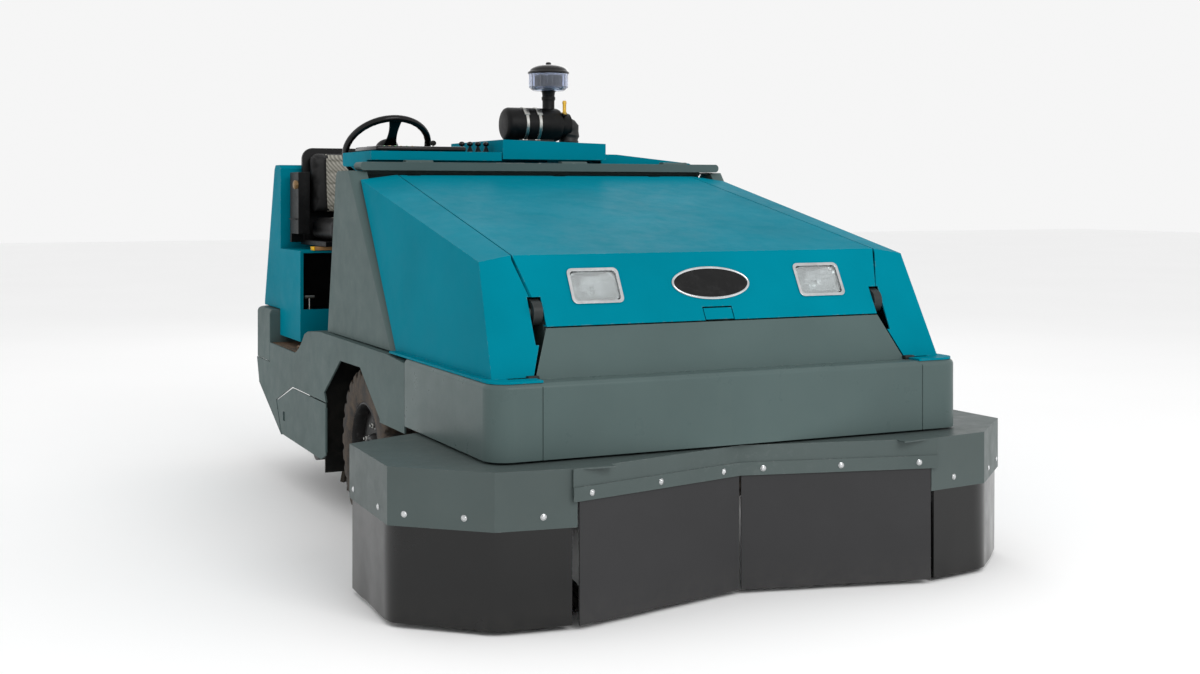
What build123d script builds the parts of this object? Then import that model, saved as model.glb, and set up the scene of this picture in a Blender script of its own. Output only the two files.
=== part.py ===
"""Ride-on sweeper: debris hopper in front, operator on the right, engine on the left.

Millimetres. +Z is up, the machine's front faces -Y and its left side is +X. The origin is on
the floor, under the centre of the machine's outer box. Distances called "behind" are measured
back from the flat face of the front bumper.
"""
from build123d import *
import math
import os

os.makedirs("parts", exist_ok=True)

# ---- driving dimensions -------------------------------------------------------------------
FACE_TO_ORIGIN = 1268          # bumper face to the origin
SHEET = 4                      # sheet-metal thickness
GAP = 4                        # gap between neighbouring panels

TYRE_R = 262                   # front tyre radius
TYRE_W = 178                   # front tyre width
WHEEL_X = 613                  # centre of a front wheel
FRONT_AXLE_AT = 1213           # front axle, behind the bumper face
REAR_TYRE_R = 230
REAR_TYRE_W = 150
REAR_AXLE_AT = 2300
AXLE_R = 30
RUNNING_CLEARANCE = 0.05       # radial, shaft in hole

RAIL_IN = 464                  # frame rail, inner and outer face
RAIL_OUT = 512
PANEL_X = 730                  # outer face of the lower side panels
PILLAR_X = 706                 # outer face of the pillars
PILLAR_ROUND = 24              # rounding of their front edges
BEAM_X = 676                   # half length of the beam across their tops

HOPPER_PIVOT = (1350, 1050)    # lift arm pivot: behind, height
ARM_TIP = (178, 770)           # hopper pivot on the arm: behind, height
ARM_X = 528                    # inner face of a lift arm
ARM_T = 26
CYLINDER_FOOT = (1310, 640)    # lift cylinder's lower pin
CYLINDER_REACH = 500           # arm pivot to the cylinder's upper pin
CYLINDER_X = 610

LID_LOW = (129, 736)           # hopper lid outline: behind, height
LID_CREASE = (232, 921)
LID_TOP = (1311, 1146)
LID_LOW_X = 526                # half-widths at those three lines
LID_CREASE_X = 581
LID_TOP_X = 549
LID_HINGES = (-430, 100, 470)  # centres of the lid's hinges, across the machine
PANEL_FOOT = (73, 606)         # foot of the slanted front panel
PANEL_FOOT_X = 580
BUMPER_X = 731
BUMPER_LOW = 410
BUMPER_TOP = 606
BUMPER_BACK = 693
HOPPER_REAR_LOW = (872, 606)   # hopper's rear edge follows the pillars' front edge
HOPPER_REAR_TOP = (1335, 1161)
SIDE_FRONT_X = 679             # outer crease of a hopper side, at the lid's crease and its top
SIDE_REAR_X = 682

BRUSH_AT = (1800, 181)         # main brush axis
BRUSH_R = 178
BRUSH_LENGTH = 1170
HOOD_R = 236
BRUSH_ARM_PIVOT = (2026, 330)

SIDE_BRUSH = (640, 235)        # side brush axis: X, behind

COVER_LOW = 257                # skirt covers: lower and upper edge of the upright faces
COVER_TOP = 404
COVER_PLAN = [(950, 500), (962, 120), (750, -75), (540, -105)]
FLAP_BOTTOM = 12

WHEEL_CENTRE = (-438, 1800, 1248)   # steering wheel: X, behind, height
WHEEL_RIM_R = 152
WHEEL_TILT = 44                     # degrees the wheel's plane slopes back

SEAT_X = -400
CONSOLE_LEFT = -155
CONSOLE_RIGHT = -625


# ---- helpers ------------------------------------------------------------------------------
def y_at(behind):
    """Row-frame Y of a distance behind the bumper face."""
    return behind - FACE_TO_ORIGIN


def side_view(points):
    """Outline points (behind, height) as (Y, Z)."""
    return [(y_at(behind), height) for behind, height in points]


def plan_view(points):
    """Outline points (X, behind) as (X, Y)."""
    return [(x, y_at(behind)) for x, behind in points]


def across(points, x_start, x_end, mode=Mode.ADD):
    """Add or cut a prism across the machine with the given side view."""
    with BuildSketch(Plane.YZ.offset(x_start)) as profile:
        with BuildLine():
            Polyline(*side_view(points), close=True)
        make_face()
    extrude(profile.sketch, amount=x_end - x_start, mode=mode)


def along(points, behind_start, behind_end, mode=Mode.ADD):
    """Add or cut a prism along the machine with the given front view (X, height)."""
    with BuildSketch(Plane.XZ.offset(-y_at(behind_end))) as profile:
        with BuildLine():
            Polyline(*points, close=True)
        make_face()
    extrude(profile.sketch, amount=behind_end - behind_start, mode=mode)


def upright(points, z_start, z_end, mode=Mode.ADD):
    """Add or cut a prism that stands on a plan outline."""
    with BuildSketch(Plane.XY.offset(z_start)) as profile:
        with BuildLine():
            Polyline(*plan_view(points), close=True)
        make_face()
    extrude(profile.sketch, amount=z_end - z_start, mode=mode)


def block(x_range, behind_range, z_range, mode=Mode.ADD):
    """Add or cut a box given by its ranges."""
    centre = (sum(x_range) / 2, y_at(sum(behind_range) / 2), sum(z_range) / 2)
    with Locations(centre):
        Box(x_range[1] - x_range[0], behind_range[1] - behind_range[0], z_range[1] - z_range[0],
            mode=mode)


def cross_rod(behind, height, radius, x_start, x_end, mode=Mode.ADD):
    """Add or cut a round bar that lies across the machine."""
    with BuildSketch(Plane.YZ.offset(x_start)) as profile:
        with Locations((y_at(behind), height)):
            Circle(radius)
    extrude(profile.sketch, amount=x_end - x_start, mode=mode)


def post(x, behind, radius, z_start, z_end, mode=Mode.ADD):
    """Add or cut an upright round bar."""
    with BuildSketch(Plane.XY.offset(z_start)) as profile:
        with Locations((x, y_at(behind))):
            Circle(radius)
    extrude(profile.sketch, amount=z_end - z_start, mode=mode)


def write(piece, name):
    piece.part.label = name
    export_step(piece.part, f"parts/{name}.step")


def lid_line(behind):
    """Height of the lid's top plane at a distance behind the face."""
    rise = (LID_TOP[1] - LID_CREASE[1]) / (LID_TOP[0] - LID_CREASE[0])
    return LID_CREASE[1] + (behind - LID_CREASE[0]) * rise


def arm_point(reach):
    """Point on the lift arm's centre line at a distance from its pivot."""
    run = (ARM_TIP[0] - HOPPER_PIVOT[0], ARM_TIP[1] - HOPPER_PIVOT[1])
    length = math.hypot(*run)
    return (HOPPER_PIVOT[0] + run[0] / length * reach, HOPPER_PIVOT[1] + run[1] / length * reach)


# ---- chassis ------------------------------------------------------------------------------
REAR_PLATE_Z = (500, 512)
with BuildPart() as main_frame:
    rail = [(40, 300), (1380, 300), (1500, 420), (2560, 420), (2560, 520), (1460, 520),
            (1340, 390), (40, 390)]
    across(rail, RAIL_IN, RAIL_OUT)
    mirror(about=Plane.YZ)
    block((-RAIL_IN, RAIL_IN), (40, 90), (320, 418))
    block((-RAIL_IN, RAIL_IN), (1405, 1445), (480, 520))
    block((-RAIL_IN, RAIL_IN), (2110, 2150), (430, 512))
    block((-RAIL_IN, RAIL_IN), (2500, 2560), (430, 520))
    block((-RAIL_IN, RAIL_IN), (2150, 2500), REAR_PLATE_Z)
    for side in (-1, 1):
        inner, outer = sorted((side * RAIL_IN, side * RAIL_OUT))
        block((inner, outer), (FRONT_AXLE_AT - 70, FRONT_AXLE_AT + 70), (200, 300))
        axle_start = side * RAIL_OUT if side > 0 else side * 690
        cross_rod(FRONT_AXLE_AT, TYRE_R, AXLE_R, axle_start, axle_start + 690 - RAIL_OUT)
        well_in, well_out = sorted((side * RAIL_OUT, side * (PANEL_X - 8)))
        block((well_in, well_out), (930, 1600), (556, 562))
        block((well_in, well_out), (1594, 1600), (125, 562))
        outrigger = sorted((side * RAIL_OUT, side * (PANEL_X - 8)))
        block(outrigger, (2040, 2120), (440, 496))
        block(outrigger, (1606, 1640), (440, 516))
    post(0, REAR_AXLE_AT, 40 + RUNNING_CLEARANCE, REAR_PLATE_Z[0], REAR_PLATE_Z[1], Mode.SUBTRACT)
write(main_frame, "main_frame")

SILL = [(697, 592), (870, 602), (1630, 606), (1800, 594)]
STEP_FRONT = (1985, 500)
with BuildPart() as side_panels:
    with BuildSketch(Plane.YZ.offset(PANEL_X - 6)):
        with BuildLine():
            Polyline(*side_view(SILL))
            Line(side_view([(1800, 594)])[0], side_view([(1850, 580)])[0])
            ThreePointArc(*side_view([(1850, 580), (1925, 525), STEP_FRONT]))
            Polyline(*side_view([STEP_FRONT, (2380, 504), (2380, 428), (2606, 428), (2565, 330),
                                 (2198, 171), (2278, 294), (2032, 371), (1558, 371), (1581, 404),
                                 (1380, 532), (1150, 534), (939, 399), (939, 388), (697, 388),
                                 (697, 592)]))
        make_face()
    extrude(amount=6)
    across([(700, 584), (1630, 598), (1790, 590), (1790, 596), (1630, 606), (870, 602), (700, 592)],
           PILLAR_X - 60, PANEL_X - 6)
    block((PANEL_X - 40, PANEL_X - 6), (1600, 1606), (371, 598))
    mirror(about=Plane.YZ)
write(side_panels, "side_panels")

with BuildPart() as rear_bumper:
    with BuildSketch(Plane.XY.offset(430)):
        with BuildLine():
            Polyline(*plan_view([(PANEL_X, 2384), (PANEL_X, 2655), (-PANEL_X, 2655),
                                 (-PANEL_X, 2384)]), close=True)
        make_face()
    extrude(amount=200)
    fillet(rear_bumper.edges().filter_by(Axis.Z).group_by(Axis.Y)[-1], 70)
    with BuildSketch(Plane.XY.offset(330)):
        with Locations((0, y_at(2560))):
            Rectangle(2 * PANEL_X - 90, 90)
    extrude(amount=100)
    block((-PANEL_X + 70, PANEL_X - 70), (2100, 2590), (300, 640), Mode.SUBTRACT)
    fillet(rear_bumper.edges().filter_by(GeomType.LINE).group_by(Axis.Z)[-1], 18)
write(rear_bumper, "rear_bumper")

PILLAR_SIDE = [(876, 608), (1340, 1158), (1368, 1161), (1515, 1161), (1621, 608)]
with BuildPart() as pillars:
    across(PILLAR_SIDE, PILLAR_X - 56, PILLAR_X)
    front_edge = pillars.edges().sort_by_distance((PILLAR_X, y_at(1108), 883))[0]
    fillet(front_edge, PILLAR_ROUND)
    top_corner = pillars.edges().filter_by(Axis.X).sort_by_distance((PILLAR_X, y_at(1515), 1161))
    fillet(top_corner[0], 34)
    block((PILLAR_X - 56, PILLAR_X - 5), (1372, 1640), (616, 1156), Mode.SUBTRACT)
    mirror(about=Plane.YZ)
write(pillars, "pillars")

with BuildPart() as bulkhead:
    block((-644, 644), (1420, 1424), (566, 1150))
    block((-508, 508), (1420, 1424), (524, 566))
    block((-640, 640), (1404, 1424), (1150, 1166))
    with BuildSketch(Plane.XZ.offset(-y_at(1404))):
        with Locations((0, 1176)):
            RectangleRounded(2 * BEAM_X, 28, 13)
    extrude(amount=79)
    for x in (-470, 100, 500):
        block((x - 48, x + 48), (1340, 1366), (1190, 1197))
        cross_rod(1336, 1190, 6, x - 48, x + 48)
    for side in (-1, 1):
        lug = sorted((side * 566, side * 580))
        block(lug, (1300, 1424), (1010, 1090))
        foot = sorted((side * 638, side * 650))
        block(foot, (1270, 1424), (610, 672))
        pin_start = min(side * 500, side * 650)
        cross_rod(HOPPER_PIVOT[0], HOPPER_PIVOT[1], 18, pin_start, pin_start + 150)
        foot_start = min(side * 575, side * 645)
        cross_rod(CYLINDER_FOOT[0], CYLINDER_FOOT[1], 14, foot_start, foot_start + 70)
write(bulkhead, "bulkhead")

with BuildPart() as step_floor:
    block((-508, -20), (1430, 2056), (522, 528))
    block((-PANEL_X + 8, -508), (1644, 1984), (522, 528))
    block((-PANEL_X + 8, -516), (1978, 2378), (498, 504))
    block((-PANEL_X + 8, -516), (1978, 1984), (504, 522))
    block((-60, -20), (1430, 1470), (528, 600))
write(step_floor, "step_floor")

HOUSING_X = 690
DECK_TOP = 870
with BuildPart() as rear_housing:
    across([(2372, DECK_TOP), (2372, 1182), (2386, 1196), (2456, 1196), (2474, 1180),
            (2640, 650), (2640, 634), (2380, 634), (2380, 532), (2064, 532),
            (2064, DECK_TOP)], -HOUSING_X, HOUSING_X)
    across([(2376, 866), (2376, 1180), (2388, 1192), (2454, 1192), (2470, 1178), (2636, 648),
            (2636, 620), (2376, 620), (2376, 520), (2068, 520), (2068, 866)],
           -HOUSING_X + SHEET, HOUSING_X - SHEET, Mode.SUBTRACT)
    block((-HOUSING_X + 12, -150), (2050, 2080), (652, 862), Mode.SUBTRACT)
    block((-HOUSING_X + 2, -140), (2068, 2300), (640, 644))
    block((-144, -140), (2068, 2300), (640, 868))
    block((-HOUSING_X + 2, -140), (2296, 2300), (640, 868))
    block((120, HOUSING_X + 1), (2060, 2371), (500, 880), Mode.SUBTRACT)
    for level in range(8):
        block((-440, 440), (2400, 2660), (690 + level * 46, 712 + level * 46), Mode.SUBTRACT)
write(rear_housing, "rear_housing")

with BuildPart() as left_cover:
    along([(HOUSING_X, 634), (HOUSING_X, 1150), (610, 1196), (310, 1226), (250, 1226),
           (250, 1222), (308, 1222), (608, 1192), (HOUSING_X - SHEET, 1148),
           (HOUSING_X - SHEET, 634)], 1626, 2368)
    along([(644, 612), (644, 1176), (610, 1196), (310, 1226), (250, 1226), (250, 1222),
           (308, 1222), (608, 1192), (640, 1173), (640, 612)], 1430, 1630)
    along([(644, 612), (644, 1176), (610, 1196), (310, 1226), (250, 1226), (250, 612)],
          1430, 1434)
    along([(HOUSING_X, 634), (HOUSING_X, 1150), (642, 1177), (642, 634)], 1626, 1630)
    block((HOUSING_X - SHEET, HOUSING_X), (1800, 2180), (520, 634))
    for row in range(2):
        for slot in range(9):
            start = 1720 + row * 300
            block((HOUSING_X - 12, HOUSING_X + 2), (start, start + 220),
                  (760 + slot * 34, 774 + slot * 34), Mode.SUBTRACT)
write(left_cover, "left_cover")

with BuildPart() as console_top:
    block((-604, -284), (1386, 1640), (1228, 1246))
    fillet(console_top.edges().group_by(Axis.Z)[-1], 8)
    for x in (-560, -505):
        post(x, 1560, 22, 1240, 1249)
    post(-330, 1600, 8.1, 1228, 1250, Mode.SUBTRACT)
write(console_top, "console_top")


def wheel_plane(offset):
    """Plane of the steering wheel, moved along its axis."""
    tilt = math.radians(WHEEL_TILT)
    axis = Vector(0, math.sin(tilt), math.cos(tilt))
    origin = Vector(WHEEL_CENTRE[0], y_at(WHEEL_CENTRE[1]), WHEEL_CENTRE[2]) + axis * offset
    return Plane(origin=origin, x_dir=(1, 0, 0), z_dir=axis)


def turned(radius, start, end, mode=Mode.ADD):
    """Add or cut a round bar on the steering wheel's axis."""
    with BuildSketch(wheel_plane(start)) as profile:
        Circle(radius)
    extrude(profile.sketch, amount=end - start, mode=mode)


with BuildPart() as console_shell:
    across([(1372, 1198), (1372, 1228), (1720, 1228), (1720, 1186), (1704, 1180), (1428, 1180),
            (1428, 1198)], CONSOLE_RIGHT, CONSOLE_LEFT - 4)
    across([(1428, 1184), (1704, 1184), (1560, 1150), (1500, 900), (1428, 900)], -606,
           CONSOLE_LEFT - 4)
    across([(1380, 1204), (1380, 1222), (1714, 1222), (1714, 1190), (1552, 1150), (1494, 890),
            (1432, 890), (1432, 1204)], -602, CONSOLE_LEFT - 8, Mode.SUBTRACT)
    for index in range(4):
        block((-278 + index * 30, -254 + index * 30), (1440, 1520), (1216, 1230), Mode.SUBTRACT)
    turned(24, -420, -60, Mode.SUBTRACT)
    for hanger in (-579, -547):
        across([(1436, 900), (1500, 900), (1608, 800), (1608, 764), (1584, 764)], hanger,
               hanger + 6)
write(console_shell, "console_shell")

with BuildPart() as steering_column:
    turned(24, -400, -30)
    turned(14, -30, 8)
write(steering_column, "steering_column")

with BuildPart() as steering_wheel:
    with BuildSketch(wheel_plane(0).rotated((90, 0, 0))):
        with Locations((WHEEL_RIM_R, 0)):
            Circle(13)
    revolve(axis=Axis(wheel_plane(0).origin, wheel_plane(0).z_dir), revolution_arc=360)
    turned(44, -28, 14)
    turned(14 + RUNNING_CLEARANCE, -40, 8.5, Mode.SUBTRACT)
    turned(24 + RUNNING_CLEARANCE, -40, -28.5, Mode.SUBTRACT)
    with BuildSketch(wheel_plane(-9)):
        with PolarLocations(WHEEL_RIM_R / 2 + 16, 3, start_angle=270):
            Rectangle(WHEEL_RIM_R - 42, 26)
    extrude(amount=10)
    turned(22, 10.5, 20, Mode.SUBTRACT)
write(steering_wheel, "steering_wheel")

with BuildPart() as horn_button:
    turned(21.7, 12.5, 22)
    fillet(horn_button.edges().sort_by(Axis.Z)[-1], 3)
write(horn_button, "horn_button")

with BuildPart() as ignition_key:
    post(-330, 1600, 8, 1230, 1252)
    block((-342, -318), (1597, 1603), (1252, 1274))
write(ignition_key, "ignition_key")

# ---- power pack ---------------------------------------------------------------------------
with BuildPart() as engine:
    block((20, 420), (1640, 2056), (600, 860))
    block((60, 380), (1660, 2040), (860, 1040))
    block((100, 340), (1680, 2020), (1040, 1120))
    cross_rod(1850, 700, 60, 420, 470)
    block((-60, 20), (1760, 1940), (640, 780))
    block((40, 400), (1640, 1700), (520, 600))
    block((40, 400), (2000, 2060), (520, 600))
    for bank in range(4):
        post(160, 1730 + bank * 80, 22, 1120, 1150)
write(engine, "engine")

with BuildPart() as radiator:
    block((-330, 430), (2388, 2460), (560, 1100))
    block((-300, 400), (2380, 2470), (600, 1060), Mode.SUBTRACT)
    for fin in range(22):
        block((-301, 401), (2394, 2454), (612 + fin * 20, 616 + fin * 20))
    for tube in range(7):
        block((-250 + tube * 100, -244 + tube * 100), (2400, 2448), (599, 1061))
write(radiator, "radiator")

with BuildPart() as tanks:
    block((476, 680), (1640, 2040), (620, 1080))
    fillet(tanks.edges().filter_by(Axis.Z), 40)
    post(578, 1720, 34, 1080, 1104)
    block((-80, 10), (1960, 2050), (540, 820))
write(tanks, "tanks")

AIR_AXIS_Z = 1355
AIR_AT = 2000
with BuildPart() as air_cleaner:
    cross_rod(AIR_AT, AIR_AXIS_Z, 66, 96, 330)
    fillet(air_cleaner.edges().filter_by(GeomType.CIRCLE), 14)
    cross_rod(AIR_AT, AIR_AXIS_Z, 52, 330, 372)
    cross_rod(AIR_AT, AIR_AXIS_Z, 69, 168, 182)
    cross_rod(AIR_AT, AIR_AXIS_Z, 69, 222, 236)
    post(288, AIR_AT, 26, 1400, 1490)
    post(372, AIR_AT, 40, 1226, AIR_AXIS_Z)
    with Locations((372, y_at(AIR_AT), AIR_AXIS_Z)):
        Sphere(46)
    block((150, 300), (1970, 2030), (1280, 1300))
    block((194, 210), (1980, 2020), (1120, 1290))
    block((226, 244), (1980, 2020), (1120, 1290))
    post(336, 1952, 7, 1400, 1452)
    block((326, 346), (1945, 1975), (1392, 1402))
write(air_cleaner, "air_cleaner")

with BuildPart() as precleaner_bowl:
    post(288, AIR_AT, 66, 1490, 1500)
    post(288, AIR_AT, 78, 1500, 1556)
    post(288, AIR_AT, 74, 1504, 1560, Mode.SUBTRACT)
    post(288, AIR_AT, 7, 1504, 1556)
write(precleaner_bowl, "precleaner_bowl")

with BuildPart() as precleaner_cap:
    with BuildSketch(Plane.XZ.offset(-y_at(AIR_AT))):
        with BuildLine():
            Polyline((288, 1594), (288, 1556), (370, 1556), (370, 1566))
            ThreePointArc((370, 1566), (348, 1586), (288, 1594))
        make_face()
    revolve(axis=Axis((288, y_at(AIR_AT), 0), (0, 0, 1)))
    post(288, AIR_AT, 9, 1590, 1604)
write(precleaner_cap, "precleaner_cap")

with BuildPart() as engine_cover:
    along([(CONSOLE_LEFT, 1204), (CONSOLE_LEFT, 1272), (240, 1262), (240, 1204), (236, 1204),
           (236, 1258), (CONSOLE_LEFT + SHEET, 1268), (CONSOLE_LEFT + SHEET, 1204)], 1372, 1900)
    along([(CONSOLE_LEFT, 1204), (CONSOLE_LEFT, 1272), (240, 1262), (240, 1204)], 1372, 1376)
    along([(CONSOLE_LEFT, 1204), (CONSOLE_LEFT, 1272), (240, 1262), (240, 1204)], 1896, 1900)
    cross_rod(1904, 1210, 8, -100, 200)
write(engine_cover, "engine_cover")

# ---- seat ---------------------------------------------------------------------------------
SEAT_HALF = 215
with BuildPart() as seat_shell:
    block((SEAT_X - 170, SEAT_X + 170), (2110, 2346), (DECK_TOP + 1, DECK_TOP + 17))
    block((SEAT_X - SEAT_HALF, SEAT_X + SEAT_HALF), (1984, 2350), (DECK_TOP + 17, 905))
    across([(2298, 895), (2330, 1262), (2344, 1262), (2352, 895)], SEAT_X - SEAT_HALF,
           SEAT_X + SEAT_HALF)
    fillet(seat_shell.edges().filter_by(Axis.Y).group_by(Axis.Z)[-1], 42)
    for side in (-1, 1):
        arm = sorted((SEAT_X + side * (SEAT_HALF + 4), SEAT_X + side * (SEAT_HALF + 48)))
        block(arm, (2200, 2330), (930, 1166))
        link = sorted((SEAT_X + side * (SEAT_HALF - 10), SEAT_X + side * (SEAT_HALF + 48)))
        block(link, (2308, 2330), (896, 934))
write(seat_shell, "seat_shell")

with BuildPart() as seat_cushion:
    block((SEAT_X - SEAT_HALF + 6, SEAT_X + SEAT_HALF - 6), (1960, 2288), (906, 996))
    fillet(seat_cushion.edges().group_by(Axis.Z)[-1], 26)
write(seat_cushion, "seat_cushion")

with BuildPart() as seat_back:
    across([(2244, 998), (2266, 1240), (2284, 1256), (2326, 1256), (2304, 998)],
           SEAT_X - SEAT_HALF + 6, SEAT_X + SEAT_HALF - 6)
    fillet(seat_back.edges().filter_by(Axis.Y).group_by(Axis.Z)[-1], 40)
    fillet(seat_back.edges().group_by(Axis.Y)[0], 16)
write(seat_back, "seat_back")

# ---- foot and hand controls ---------------------------------------------------------------
with BuildPart() as direction_pedal:
    cross_rod(1660, 560, 9, -500, -420)
    across([(1606, 584), (1716, 560), (1716, 572), (1606, 596)], -498, -422)
    across([(1652, 560), (1668, 560), (1668, 576), (1652, 580)], -498, -422)
write(direction_pedal, "direction_pedal")

with BuildPart() as brake_pedal:
    across([(1560, 640), (1572, 640), (1600, 780), (1588, 780)], -565, -555)
    across([(1560, 600), (1572, 600), (1590, 672), (1578, 676)], -595, -525)
    cross_rod(1594, 780, 12, -571, -549)
write(brake_pedal, "brake_pedal")

with BuildPart() as parking_lever:
    cross_rod(1880, 570, 14, -120, -90)
    across([(1872, 570), (1888, 570), (1868, 790), (1856, 790)], -112, -98)
    cross_rod(1862, 800, 16, -120, -90)
write(parking_lever, "parking_lever")

LEVER_AT = 1480
for index in range(4):
    lever_x = -266 + index * 30
    with BuildPart() as control_lever:
        post(lever_x, LEVER_AT, 4, 1206, 1250)
        for ring in range(3):
            post(lever_x, LEVER_AT, 11 - ring, 1231 + ring * 6, 1236 + ring * 6)
        cross_rod(LEVER_AT, 1226, 4, lever_x - 8, lever_x + 8)
        with Locations((lever_x, y_at(LEVER_AT), 1256)):
            Sphere(11)
    write(control_lever, f"control_lever_{index + 1}")

# ---- hopper -------------------------------------------------------------------------------
BIN_X = 519                    # outer face of the bin's side walls
with BuildPart() as hopper_bin:
    across([(77, 425), (850, 425), (850, 596), (1250, 1112), (258, 903), (159, 718),
            (127, 718), (77, 606)], -BIN_X, BIN_X)
    across([(81, 429), (900, 429), (900, 592), (846, 592), (846, 600), (1246, 1116),
            (1246, 1300), (262, 1300), (262, 903), (163, 714), (131, 714), (81, 602)],
           -BIN_X + SHEET, BIN_X - SHEET, Mode.SUBTRACT)
    across([PANEL_FOOT, (129, 732), (134, 732), (78, PANEL_FOOT[1])], -PANEL_FOOT_X, PANEL_FOOT_X)
    for side in (-1, 1):
        upright([(side * PANEL_FOOT_X, 73), (side * LID_LOW_X, 129), (side * LID_LOW_X, 150),
                 (side * 700, 150), (side * 700, 60), (side * PANEL_FOOT_X, 60)], 600, 740,
                Mode.SUBTRACT)
        shelf = sorted((side * 470, side * (BIN_X - SHEET)))
        block(shelf, (560, 960), (808, 814))
        pin_start = min(side * (BIN_X - SHEET), side * 560)
        cross_rod(ARM_TIP[0], ARM_TIP[1], 14, pin_start, pin_start + 560 - BIN_X + SHEET)
        web = sorted((side * BIN_X, side * 656))
        block(web, (77, 81), (430, 600))
        lamp = sorted((side * 280, side * 436))
        block(lamp, (150, 280), (752, 910), Mode.SUBTRACT)
    for knuckle in LID_HINGES:
        block((knuckle - 90, knuckle - 46), (1234, 1317), (1088, 1092))
        block((knuckle - 90, knuckle - 46), (1313, 1317), (1088, 1134))
        cross_rod(1314, 1136, 6, knuckle - 90, knuckle - 46)
write(hopper_bin, "hopper_bin")

with BuildPart() as hopper_bumper:
    with BuildSketch(Plane.XY.offset(BUMPER_LOW)):
        with BuildLine():
            Polyline(*plan_view([(-BUMPER_X, 0), (BUMPER_X, 0), (BUMPER_X, BUMPER_BACK),
                                 (-BUMPER_X, BUMPER_BACK)]), close=True)
        make_face()
    extrude(amount=BUMPER_TOP - BUMPER_LOW)
    fillet(hopper_bumper.edges().filter_by(Axis.Z).group_by(Axis.Y)[0], 62)
    top_edge = hopper_bumper.faces().sort_by(Axis.Z)[-1].edges()
    fillet(top_edge.filter_by(lambda edge: edge.center().Y < y_at(BUMPER_BACK - 1)), 15)
    with BuildSketch(Plane.XY.offset(BUMPER_LOW - 1)):
        with BuildLine():
            Polyline(*plan_view([(5 - BUMPER_X, 5), (BUMPER_X - 5, 5), (BUMPER_X - 5, 700),
                                 (5 - BUMPER_X, 700)]), close=True)
        make_face()
        fillet(vertices().group_by(Axis.Y)[0], 57)
    extrude(amount=BUMPER_TOP - BUMPER_LOW - 4, mode=Mode.SUBTRACT)
    block((-656, 656), (77, 700), (590, 610), Mode.SUBTRACT)
    for side in (-1, 1):
        groove = sorted((side * 588.5, side * 591.5))
        block(groove, (-1, 3), (400, 596), Mode.SUBTRACT)
write(hopper_bumper, "hopper_bumper")


def side_section(behind, inset):
    """Front view of a hopper side: lid edge, outer crease, foot."""
    ratio = (behind - LID_CREASE[0]) / (LID_TOP[0] - LID_CREASE[0])
    inner = LID_CREASE_X + (LID_TOP_X - LID_CREASE_X) * ratio + GAP
    outer = SIDE_FRONT_X + (SIDE_REAR_X - SIDE_FRONT_X) * ratio
    top = lid_line(behind)
    return [(inner - 12 * inset, top - inset), (outer - inset, top - 14 - inset),
            (700 - inset, 612 - 3 * inset), (inner - 12 * inset, 612 - 3 * inset)]


def side_loft(inset, front, rear):
    """Solid between two front views of the hopper side."""
    with BuildPart() as body:
        with BuildSketch(Plane.XZ.offset(-y_at(front))) as first:
            with BuildLine():
                Polyline(*side_section(front, inset), close=True)
            make_face()
        with BuildSketch(Plane.XZ.offset(-y_at(rear))) as second:
            with BuildLine():
                Polyline(*side_section(rear, inset), close=True)
            make_face()
        loft(sections=[first.sketch, second.sketch], ruled=True)
    return body.part


FRONT_RUN = (232 - 73) / (921 - 606)     # slope of the front face, run over rise
REAR_RUN = (HOPPER_REAR_TOP[0] - HOPPER_REAR_LOW[0]) / (HOPPER_REAR_TOP[1] - HOPPER_REAR_LOW[1])
side_outer = side_loft(0, 40, 1400)
side_inner = side_loft(SHEET, 40, 1400)
with BuildPart() as side_void:
    add(side_inner)
    across([(-100, 400), (73 - 206 * FRONT_RUN + 5, 400), (73 + 694 * FRONT_RUN + 5, 1300),
            (-100, 1300)], 300, 800, Mode.SUBTRACT)
with BuildPart() as side_front:
    across([(73, 606), (232, 921), (237, 921), (78, 606)], 526, 701)
    along([(583, 613), (532, 739), (588, 917), (679, 903), (699.5, 613)], 40, 300, Mode.INTERSECT)
with BuildPart() as hopper_sides:
    add(side_outer)
    across([(-100, 400), (73 - 206 * FRONT_RUN, 400), (73 + 694 * FRONT_RUN, 1300),
            (-100, 1300)], 300, 800, Mode.SUBTRACT)
    add(side_void.part, mode=Mode.SUBTRACT)
    across([(872 - 106 * REAR_RUN - 5, 500), (1600, 500), (1600, 1300), (1316, 1300),
            (1316, 606 + (1321 - 872) / REAR_RUN)], 300, 800, Mode.SUBTRACT)
    add(side_front.part)
    block((520, 561), (100, 190), (690, 812), Mode.SUBTRACT)
    with BuildSketch(Plane.XY.offset(606)):
        with BuildLine():
            Polyline(*plan_view([(585, 8), (723, 8), (723, 866), (585, 866)]), close=True)
        make_face()
        fillet(vertices().group_by(Axis.Y)[0].sort_by(Axis.X)[-1], 54)
    extrude(amount=6)
    block((560, 660), (60, 900), (600, 612), Mode.SUBTRACT)
    mirror(about=Plane.YZ)
write(hopper_sides, "hopper_sides")

with BuildPart() as dust_filter:
    block((-466, 466), (564, 956), (816, 904))
    for pleat in range(22):
        centre = -441 + pleat * 42
        block((centre - 8, centre + 8), (580, 940), (890, 905), Mode.SUBTRACT)
write(dust_filter, "dust_filter")

LID_SLOPE = math.atan2(LID_CREASE[0] - LID_LOW[0], LID_CREASE[1] - LID_LOW[1])


def lid_face(x, height):
    """Plane on the lid's front face."""
    behind = LID_LOW[0] + (height - LID_LOW[1]) * math.tan(LID_SLOPE)
    return Plane(origin=(x, y_at(behind), height), x_dir=(1, 0, 0),
                 z_dir=(0, -math.cos(LID_SLOPE), math.sin(LID_SLOPE)))


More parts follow.
